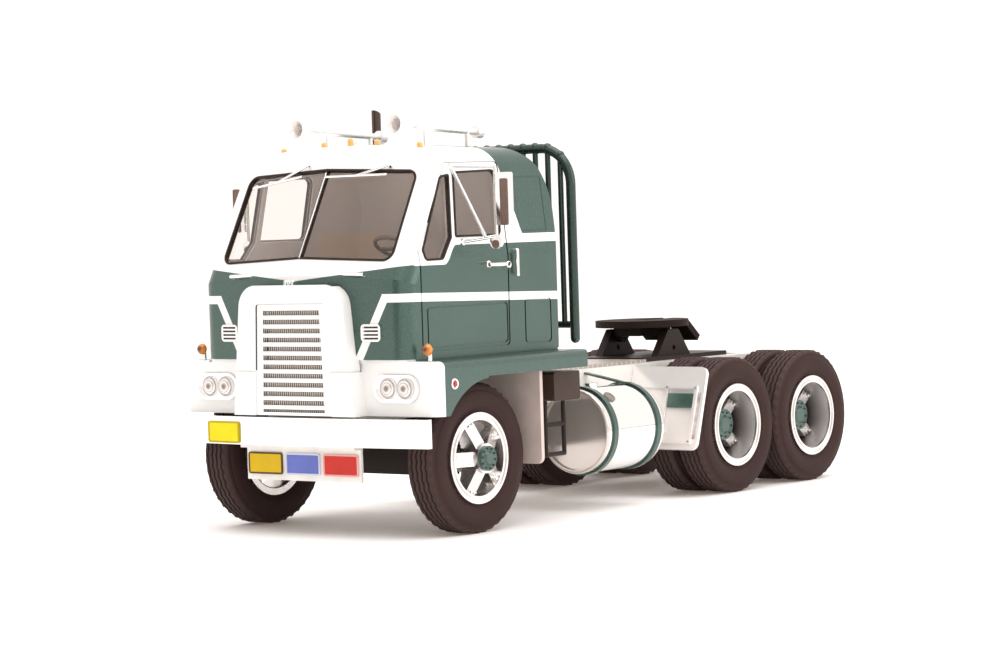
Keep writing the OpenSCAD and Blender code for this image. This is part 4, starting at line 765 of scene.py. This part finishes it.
# %% Turning and repeating
def turned(name, section, steps):
    """A section of (radius, place along Y) points in millimetres, spun all the way round Y."""
    piece = begin(name, "plane", size=MM)
    bpy.ops.mesh.merge(type="CENTER")
    bpy.ops.transform.translate(value=(section[0][0] * MM, section[0][1] * MM, 0))
    for (r0, y0), (r1, y1) in zip(section, section[1:]):
        step = ((r1 - r0) * MM, (y1 - y0) * MM, 0)
        bpy.ops.mesh.extrude_vertices_move(TRANSFORM_OT_translate={"value": step})
    bpy.ops.mesh.select_all(action="SELECT")
    bpy.ops.mesh.spin(steps=steps, angle=2 * math.pi, center=(0, 0, 0), axis=(0, 1, 0))
    bpy.ops.mesh.select_all(action="SELECT")
    bpy.ops.mesh.remove_doubles(threshold=0.002 * MM)
    bpy.ops.mesh.normals_make_consistent(inside=False)
    bpy.ops.object.mode_set(mode="OBJECT")
    return piece


def repeat(piece, name, places):
    """Copies the piece's mesh to each place, joins the copies and removes the first one."""
    copies = []
    for place in places:
        copy = piece.copy()
        copy.data = piece.data.copy()
        copy.data.transform(place)
        if place.determinant() < 0:
            copy.data.flip_normals()
        bpy.context.collection.objects.link(copy)
        copies.append(copy)
    bpy.data.objects.remove(piece)
    bpy.ops.object.select_all(action="DESELECT")
    for copy in copies:
        copy.select_set(True)
    bpy.context.view_layer.objects.active = copies[0]
    bpy.ops.object.join()
    copies[0].name = copies[0].data.name = name
    return copies[0]


def mirrored(places):
    """The places and their mirror images on the model's right."""
    return places + [Matrix.Diagonal((1, -1, 1, 1)) @ place for place in places]


def put(ahead, side, height):
    """Moves a piece from the origin to a place on the model, in millimetres."""
    return Matrix.Translation(at(ahead, side, height))


def turn_about(axis, degrees):
    return Matrix.Rotation(math.radians(degrees), 4, axis)


facing_ahead = turn_about("Z", -90)  # lays a turned piece's axis along the model
print("turning and repeating ready")

# %% [markdown]
# ## Tyres with tread
# One tyre is a section spun in many steps. Its four grooves then become zigzags when every second pair
# of rings is pushed sideways, and the shoulders get notches when pairs of rings are drawn in. It is
# copied to all ten places and stands for the plain CAD tyres.

# %% One tyre
TYRE_R, TYRE_W, SHOULDER, STEPS = 12.6, 6.2, 0.9, 168
WALL = [(7.23, 1.18), (7.45, 0.95), (8.1, 0.55), (8.5, 0.42), (8.62, 0.3), (8.8, 0.28), (9.4, 0.08),
        (10.1, 0), (10.8, 0.06), (11.3, 0.2), (11.42, 0.34), (11.55, 0.34), (11.95, 0.45), (12.25, 0.62)]
GROOVES, GROOVE_W, GROOVE_DEEP = (0.26, 0.42, 0.58, 0.74), 0.4, 0.5
TREAD_LOW_R, ZIGZAG, ZIGZAG_FROM, NOTCH, NOTCH_HALF = 12.0, 0.17, 1.2, 0.972, 0.1

tread = [(TYRE_R, SHOULDER)]
for share in GROOVES:
    middle = share * TYRE_W
    tread += [(TYRE_R, middle - GROOVE_W / 2), (TYRE_R - GROOVE_DEEP, middle - GROOVE_W / 4),
              (TYRE_R - GROOVE_DEEP, middle + GROOVE_W / 4), (TYRE_R, middle + GROOVE_W / 2)]
tread += [(TYRE_R, TYRE_W - SHOULDER)]
section = WALL + tread + [(r, TYRE_W - depth) for r, depth in reversed(WALL)]
tyre = turned("tyre", [(r, -depth) for r, depth in section], STEPS)


def pick_tread(low, high, rings):
    """Selects the tread's points between two depths, on these of every four rings round the tyre."""
    def chosen(point):
        ring = round(math.atan2(point.co.z, point.co.x) / (2 * math.pi) * STEPS) % 4
        on_tread = math.hypot(point.co.x, point.co.z) > TREAD_LOW_R * MM
        return on_tread and low < -point.co.y / MM < high and ring in rings
    pick(tyre, chosen, "vertices")


pick_tread(ZIGZAG_FROM, TYRE_W - ZIGZAG_FROM, (0, 1))
bpy.ops.transform.translate(value=(0, ZIGZAG * MM, 0))
for shoulder, rings in ((SHOULDER, (0, 1)), (TYRE_W - SHOULDER, (2, 3))):
    pick_tread(shoulder - NOTCH_HALF, shoulder + NOTCH_HALF, rings)
    resize((NOTCH, 1, NOTCH))
bpy.ops.object.mode_set(mode="OBJECT")
print("one tyre with", len(tyre.data.polygons), "faces")

# %% Tyres on all wheels
WHEELSETS = {"front": "front_wheelset", "rear_1": "rear_wheelset_1", "rear_2": "rear_wheelset_2"}
TYRE_NODES = {"front": "front_tyres", "rear_1": "rear_tyres_1", "rear_2": "rear_tyres_2"}
TWIN_PITCH = 6.9
TYRE_SIDES = {"front": (26.1,), "rear": (26.2, 26.2 - TWIN_PITCH)}


def of_kind(table, axle):
    """What a table says for front or for rear wheels."""
    return table[axle.split("_")[0]]


for axle, x in AXLES.items():
    spare = tyre.copy()
    spare.data = tyre.data.copy()
    bpy.context.collection.objects.link(spare)
    places = [put(x, side, AXLE_Z) for side in of_kind(TYRE_SIDES, axle)]
    tyres = repeat(spare, "treaded_" + TYRE_NODES[axle], mirrored(places))
    settle(tyres, tyre_rubber, WHEELSETS[axle], 38)
    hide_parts(TYRE_NODES[axle])
bpy.data.objects.remove(tyre)
print("tyres on", list(AXLES))

# %% [markdown]
# ## Wheel nuts
# Each spoke ends in a clamp with nuts on it, two on a front wheel and one on a rear one. The nut is a
# six-sided cylinder: its top edge is bevelled, its top face is inset and drawn up into the stud.

# %% Wheel nuts
CLAMP_R, SPOKES, NUT_TALL = 5.85, 5, 0.5
NUTS = {"front": (25.5, 0.3, (-3.9, 3.9)), "rear": (21.95, 0.42, (0,))}


def nut_piece(name, across, tall):
    piece = begin(name, "cylinder", vertices=6, radius=across * MM, depth=tall * MM,
                  rotation=(math.radians(90), 0, 0))
    pick(piece, lambda f: f.normal.y > 0.9)
    bpy.ops.mesh.bevel(offset=0.12 * across * MM, segments=2, affect="EDGES")
    pick(piece, lambda f: f.normal.y > 0.95)
    bpy.ops.mesh.inset(thickness=0.34 * across * MM)
    draw_out(0, 0.45 * tall, 0)
    bpy.ops.object.mode_set(mode="OBJECT")
    return piece


def round_axle(x, radius, side, count, phases):
    """Places round a wheel's axis, for each phase in degrees."""
    places = []
    for degrees in [phase + i * 360 / count for i in range(count) for phase in phases]:
        a = math.radians(degrees)
        spot = put(x + radius * math.cos(a), side, AXLE_Z + radius * math.sin(a))
        places.append(spot @ turn_about("Y", -degrees))
    return places


for axle, x in AXLES.items():
    side, across, phases = of_kind(NUTS, axle)
    clamps = mirrored(round_axle(x, CLAMP_R, side, SPOKES, phases))
    nuts = repeat(nut_piece("nut", across, NUT_TALL), "wheel_nuts_" + axle, clamps)
    settle(nuts, plating, WHEELSETS[axle])
    print(axle, "has", len(clamps), "nuts")

# %% [markdown]
# ## Bolt heads
# The green caps over the hubs have a ring of small bolt heads near their edge: the same nut, smaller and
# sprayed with the cap.

# %% Bolt heads on the hub caps
HEADS, HEAD_ACROSS, HEAD_TALL = 10, 0.2, 0.22
HEAD_PLACES = {"front": (27.93, 1.68), "rear": (23.03, 2.32)}

for axle, x in AXLES.items():
    side, radius = of_kind(HEAD_PLACES, axle)
    edge = mirrored(round_axle(x, radius, side, HEADS, (9,)))
    heads = repeat(nut_piece("cap_bolt", HEAD_ACROSS, HEAD_TALL), "cap_bolts_" + axle, edge)
    settle(heads, green_enamel, WHEELSETS[axle])
    print(axle, "has", len(edge), "bolt heads")

# %% [markdown]
# ## Blank plates
# Three plates hang on the panel under the bumper and one on the bumper's right end. They carry nothing
# but their colours. A plate is a thin block: its corners are rounded by a bevel, and its front face is
# inset and sunk, which leaves a raised rim. The rim takes a colour of its own.

# %% Blank plates
PLATE_W, PLATE_H, PLATE_T, PANEL_T = 7.7, 3.7, 0.3, 0.5
PLATE_RIM, PLATE_PITCH, PLATE_Z, HAIR = 0.3, 8.5, 12.15, 0.02
BUMPER_SET, BUMPER_Y, BUMPER_Z, BUMPER_TURN = 0.49, -16.4, 17.4, -4.2
panel_face = solid_box("plate_panel")[0].x + PANEL_T
bumper_front = solid_box("bumper")[1].x


def tray(name, size, corner, rim, sunk):
    """A flat block facing ahead, in millimetres, with rounded corners and a face sunk inside a rim."""
    piece = begin(name, "cube", size=1)
    resize([v * MM for v in size])

    def runs_ahead(edge):
        first, second = (piece.data.vertices[k].co for k in edge.vertices)
        return abs((first - second).x) > size[0] / 2 * MM

    pick(piece, runs_ahead, "edges")
    bpy.ops.mesh.bevel(offset=corner * MM, segments=4, affect="EDGES")
    pick(piece, lambda f: f.normal.x > 0.9)
    bpy.ops.mesh.inset(thickness=rim * MM)
    draw_out(-sunk, 0, 0)
    bpy.ops.object.mode_set(mode="OBJECT")
    return piece


def blank_plate(name, colour, border, place, turn=0):
    piece = tray(name, (PLATE_T, PLATE_W, PLATE_H), 0.45, 0.22, 0.08)
    piece.data.transform(Matrix.Translation(place) @ turn_about("Z", turn))
    finish = moulded("paint_" + name, colour, 0.4, **DULL)
    _, y, z = finish.place()
    off_side = abs(y - place.y / MM) - PLATE_W / 2
    off_height = abs(z - place.z / MM) - PLATE_H / 2
    edge = (off_side | off_height) > -PLATE_RIM
    finish.feed("Base Color", finish.mix(edge, finish.fed("Base Color"), border))
    settle(piece, finish, "chassis", 25)


for name, colour, border, step in (("plate_amber", (0.66, 0.43, 0.006), (0.09, 0.06, 0.02), -1),
                                   ("plate_blue", (0.13, 0.17, 0.5), (0.62, 0.64, 0.74), 0),
                                   ("plate_red", (0.56, 0.035, 0.025), (0.74, 0.4, 0.37), 1)):
    blank_plate(name, colour, border, at(panel_face + PLATE_T / 2 + HAIR, step * PLATE_PITCH, PLATE_Z))
bumper_place = at(bumper_front - BUMPER_SET, BUMPER_Y, BUMPER_Z)
blank_plate("plate_yellow", (0.8, 0.66, 0.004), (0.45, 0.36, 0.01), bumper_place, BUMPER_TURN)
print("four blank plates")

# %% [markdown]
# ## Filler caps
# Each tank has a low filler cap on its outer shoulder. It is a turned button with a sunk middle, tipped
# over until its axis follows the tank's radius there, and let in a little so that its flat foot meets
# the round shell.

# %% Filler caps on the tanks
CAP_PLACE, CAP_ANGLE = (-42.0, 23.4, 20.1), 50
CAP_SECTION = [(0, -0.1), (1.15, -0.1), (1.15, 0.2), (1.05, 0.3), (0.78, 0.3), (0.7, 0.2), (0, 0.22)]

tipped = put(*CAP_PLACE) @ turn_about("X", CAP_ANGLE)
caps = repeat(turned("cap", CAP_SECTION, 40), "filler_caps", mirrored([tipped]))
settle(caps, moulded("cap_grey", (0.2, 0.165, 0.145), 0.4))
print("a filler cap on each tank")

# %% [markdown]
# ## Small bright trim
# A plated strip covers the divider of the windscreen and leans with it, and three ribs crown the hood.
# Each is a slim block with all its edges rounded, shaped at the origin and then moved to its place.

# %% Divider strip and the ribs over the hood
RAKE, DIVIDER_FOOT, DIVIDER_SIZE = -28, (0.12, 0.1, 46.75), (0.3, 0.24, 16.1)
CREST_X, CREST_MIDDLE, CREST_PITCH, CREST_FOOT = 14.55, -0.3, 0.8, 41.15
CREST_SIZE = (1.5, 0.5, 1.95)


def slim_block(name, size, edge):
    """A block of this size in millimetres, on its foot at the origin, with every edge rounded."""
    piece = begin(name, "cube", size=1)
    resize([v * MM for v in size])
    bpy.ops.transform.translate(value=(0, 0, size[2] / 2 * MM))
    bpy.ops.mesh.bevel(offset=edge * MM, segments=3, affect="EDGES")
    bpy.ops.object.mode_set(mode="OBJECT")
    return piece


back_set, strip_y, strip_z = DIVIDER_FOOT
strip_place = put(solid_box("window_gaskets")[1].x - back_set, strip_y, strip_z)
strip = slim_block("divider_strip", DIVIDER_SIZE, 0.05)
strip.data.transform(strip_place @ turn_about("Y", RAKE))
settle(strip, plating)

ribs = [put(CREST_X, k * CREST_PITCH + CREST_MIDDLE, CREST_FOOT) for k in (-1, 0, 1)]
crest = repeat(slim_block("rib", CREST_SIZE, 0.2), "hood_crest", ribs)
settle(crest, plating)
print("divider strip and", len(ribs), "ribs")

# %% [markdown]
# ## Marker rings
# A plated ring surrounds each side marker. It is turned from a closed section.

# %% Rings round the side markers
RING_FOOT_Y = 29.0
RING_SECTION = [(0.6, 0), (0.6, 0.2), (0.68, 0.3), (0.8, 0.3), (0.9, 0.2), (0.92, 0), (0.6, 0)]

low, high = solid_box("side_markers")
marker_middle = (low + high) / 2
ring_place = put(marker_middle.x, RING_FOOT_Y, marker_middle.z)
rings = repeat(turned("ring", RING_SECTION, 32), "marker_rings", mirrored([ring_place]))
settle(rings, plating)
print("rings round both markers")

# %% [markdown]
# ## On the guards
# The guards in front of the rear wheels lean back. A raised frame is bolted on each of them, with a
# lighter green panel in its upper half: a painted reflection in the plated sheet. A frame is a flat ring:
# a plane with rounded corners, inset once, with its middle deleted and the Solidify modifier for its
# thickness. All of it is placed on the leaning face.

# %% Bolts, frames and painted reflection panels on the guards
GUARD_LEAN, GUARD_FOOT, GUARD_T = -17, (-63.8, 0, 8.9), 0.7
BOLT_SIDES, BOLT_HEIGHTS = (18.9, 25.2), (1.5, 11.6)
BOLT_ACROSS, BOLT_TALL, BOLT_PROUD = 0.26, 0.3, 0.3
FRAME_MIDDLE, FRAME_TALL, FRAME_WIDE, FRAME_BAR, FRAME_T = (22.05, 6.55), 10.9, 7.1, 0.55, 0.35
REFLECTION_PANEL_MIDDLE, REFLECTION_PANEL_SIZE = (22.0, 9.2), (2.7, 5.6, 0.16)


def flat_ring(name, wide, tall, bar, thick, corners):
    """A flat ring about the origin, in millimetres. Corners pair a test on a corner's x with a radius."""
    piece = begin(name, "plane", size=1)
    resize((wide * MM, tall * MM, 1))
    for test, radius in corners:
        pick(piece, lambda v: test(v.co.x), "vertices")
        bpy.ops.mesh.bevel(offset=radius * MM, segments=5, affect="VERTICES")
    bpy.ops.mesh.select_all(action="SELECT")
    bpy.ops.mesh.inset(thickness=bar * MM)
    bpy.ops.mesh.delete(type="FACE")
    bpy.ops.object.mode_set(mode="OBJECT")
    bpy.ops.object.modifier_add(type="SOLIDIFY")
    piece.modifiers["Solidify"].thickness = thick * MM
    piece.modifiers["Solidify"].offset = 1
    bpy.ops.object.modifier_apply(modifier="Solidify")
    return piece


leaning = put(*GUARD_FOOT) @ turn_about("Y", GUARD_LEAN)


def on_guard(proud, side, height):
    """A place on the left guard's leaning face, in millimetres."""
    return leaning @ Matrix.Translation(Vector((GUARD_T + proud, side, height)) * MM)


bolt_places = mirrored([on_guard(BOLT_PROUD, y, h) @ facing_ahead for y in BOLT_SIDES for h in BOLT_HEIGHTS])
bolts = repeat(nut_piece("bolt", BOLT_ACROSS, BOLT_TALL), "guard_bolts", bolt_places)
settle(bolts, drawn_steel)

upright = turn_about("Y", 90)
frame_ring = flat_ring("frame", FRAME_TALL, FRAME_WIDE, FRAME_BAR, FRAME_T, [(lambda x: True, 0.3)])
frames = repeat(frame_ring, "guard_frames", mirrored([on_guard(-HAIR, *FRAME_MIDDLE) @ upright]))
settle(frames, guard_sheet)

# The green panel in each frame is a painted reflection, lighter than the green enamel.
panel = slim_block("panel", REFLECTION_PANEL_SIZE, 0.06)
reflection_panels = repeat(panel, "guard_reflection_panels", mirrored([on_guard(-HAIR, *REFLECTION_PANEL_MIDDLE) @ upright]))
settle(reflection_panels, enamel("reflection_panel_enamel", painted_light_factor=1.7), "chassis")
print(len(bolt_places), "bolts, and a frame and a panel on each guard")

# %% [markdown]
# ## Sill and seal
# The cab stands on a sill that closes the seam between it and the body below. It is the same kind of
# flat ring, much larger, with wider corners at the nose. A slim block seals the hood's lower edge.

# %% Sill under the cab and seal under the hood
SILL_BACK, SILL_FRONT, SILL_Z, SILL_W, SILL_BAR, SILL_T = -28.5, 12.35, 29.05, 45.9, 0.9, 0.7
NOSE_CORNER, BACK_CORNER = 2.7, 0.7
SEAL_PLACE, SEAL_SIZE = (13.82, 0, 27.65), (2.7, 25.2, 0.4)

sill_ring = flat_ring("cab_sill", SILL_FRONT - SILL_BACK, SILL_W, SILL_BAR, SILL_T,
                      [(lambda x: x > 0, NOSE_CORNER), (lambda x: x < 0, BACK_CORNER)])
sill_ring.data.transform(put((SILL_BACK + SILL_FRONT) / 2, 0, SILL_Z))
settle(sill_ring, body_enamel, "chassis")

seal = slim_block("hood_seal", SEAL_SIZE, 0.1)
seal.data.transform(put(*SEAL_PLACE))
settle(seal, body_enamel, "chassis")
print("sill and seal")

# %% [markdown]
# ## Headlamp rings
# Each headlamp has a grooved ring, turned as the markers' rings are and laid over so that its axis
# points ahead.

# %% Rings round the headlamps
COLLAR_SECTION = [(1.42, 0), (1.42, 0.26), (1.47, 0.32), (1.53, 0.32), (1.57, 0.2), (1.63, 0.2),
                  (1.67, 0.32), (1.74, 0.32), (1.79, 0.26), (1.79, 0), (1.42, 0)]
BEZEL_DEEP = 0.5

lamp_floor = solid_box("headlamp_bezels")[1].x - BEZEL_DEEP
lamps = [put(lamp_floor, LAMP_Y + k * LAMP_PITCH / 2, LAMP_Z) for k in (-1, 1)]
collar_places = mirrored([lamp @ facing_ahead for lamp in lamps])
collars = repeat(turned("collar", COLLAR_SECTION, 48), "lamp_rings", collar_places)
# The ring takes the lens finish, whose dark lines at radii 1.4 and 1.6 paint shade at its inner edge and in
# its groove.
settle(collars, clear_lens)
print(len(collar_places), "headlamp rings")

# %% [markdown]
# ## Mirror heads
# From the front we look at the back of each mirror head: a plated shell with a dark inset panel, and a
# smaller round one below it. The panel is made as the plates are. The round one is a turned dish, laid
# over so that its axis points ahead.

# %% Dark insets on the mirrors
INSET_PLACE, INSET_SIZE = (-4.71, 30.4, 55.14), (0.16, 1.5, 7.7)
SPOT_PLACE = (-4.83, 28.25, 48.11)
DISH_SECTION = [(0, 0), (0.62, 0), (0.7, 0.08), (0.62, 0.14), (0.52, 0.1), (0.3, 0.05), (0, 0.03)]

mirror_brown = moulded("mirror_brown", (0.15, 0.09, 0.068), 0.3, 0.004, 1.2)
inset = tray("inset", INSET_SIZE, 0.3, 0.16, 0.05)
insets = repeat(inset, "mirror_insets", mirrored([put(*INSET_PLACE)]))
settle(insets, mirror_brown)

dish = turned("dish", DISH_SECTION, 40)
dishes = repeat(dish, "spot_insets", mirrored([put(*SPOT_PLACE) @ facing_ahead]))
settle(dishes, mirror_brown)
print("insets on both mirrors")

# %% [markdown]
# ## Door handle bosses
# The lever of each door turns in a boss and rests on a second one. A boss is a turned button with a sunk
# face. The sunk face is painted dark, as shade at the bottom of a small hole.

# %% Bosses at the ends of the door levers
BOSSES, BOSS_MEAN_Z, BOSS_HOLE, DOOR_SKIN = ((-8.1, 44.72), (-13.5, 44.52)), 44.62, 0.36, 23.0
BOSS_SECTION = [(0, 0), (0.62, 0), (0.62, 1.2), (0.54, 1.3), (0.42, 1.3), (0.36, 1.18), (0, 1.18)]

boss_plating = metal("boss_plating", PLATED, 0.08)
boss_x, _, boss_z = boss_plating.place()
nearest_x = abs(boss_x - BOSSES[0][0]) & abs(boss_x - BOSSES[1][0])
# Painted shade: the sunk middle of each boss is dark.
hole = reach(nearest_x, boss_z - BOSS_MEAN_Z) < BOSS_HOLE
boss_plating.feed("Base Color", boss_plating.mix(hole, (0.9, 0.88, 0.86), (0.03, 0.026, 0.022)))
boss_plating.feed("Metallic", 1 - hole)

boss_places = mirrored([put(x, DOOR_SKIN, z) for x, z in BOSSES])
bosses = repeat(turned("boss", BOSS_SECTION, 32), "handle_bosses", boss_places)
settle(bosses, boss_plating)
print(len(boss_places), "bosses on the doors")
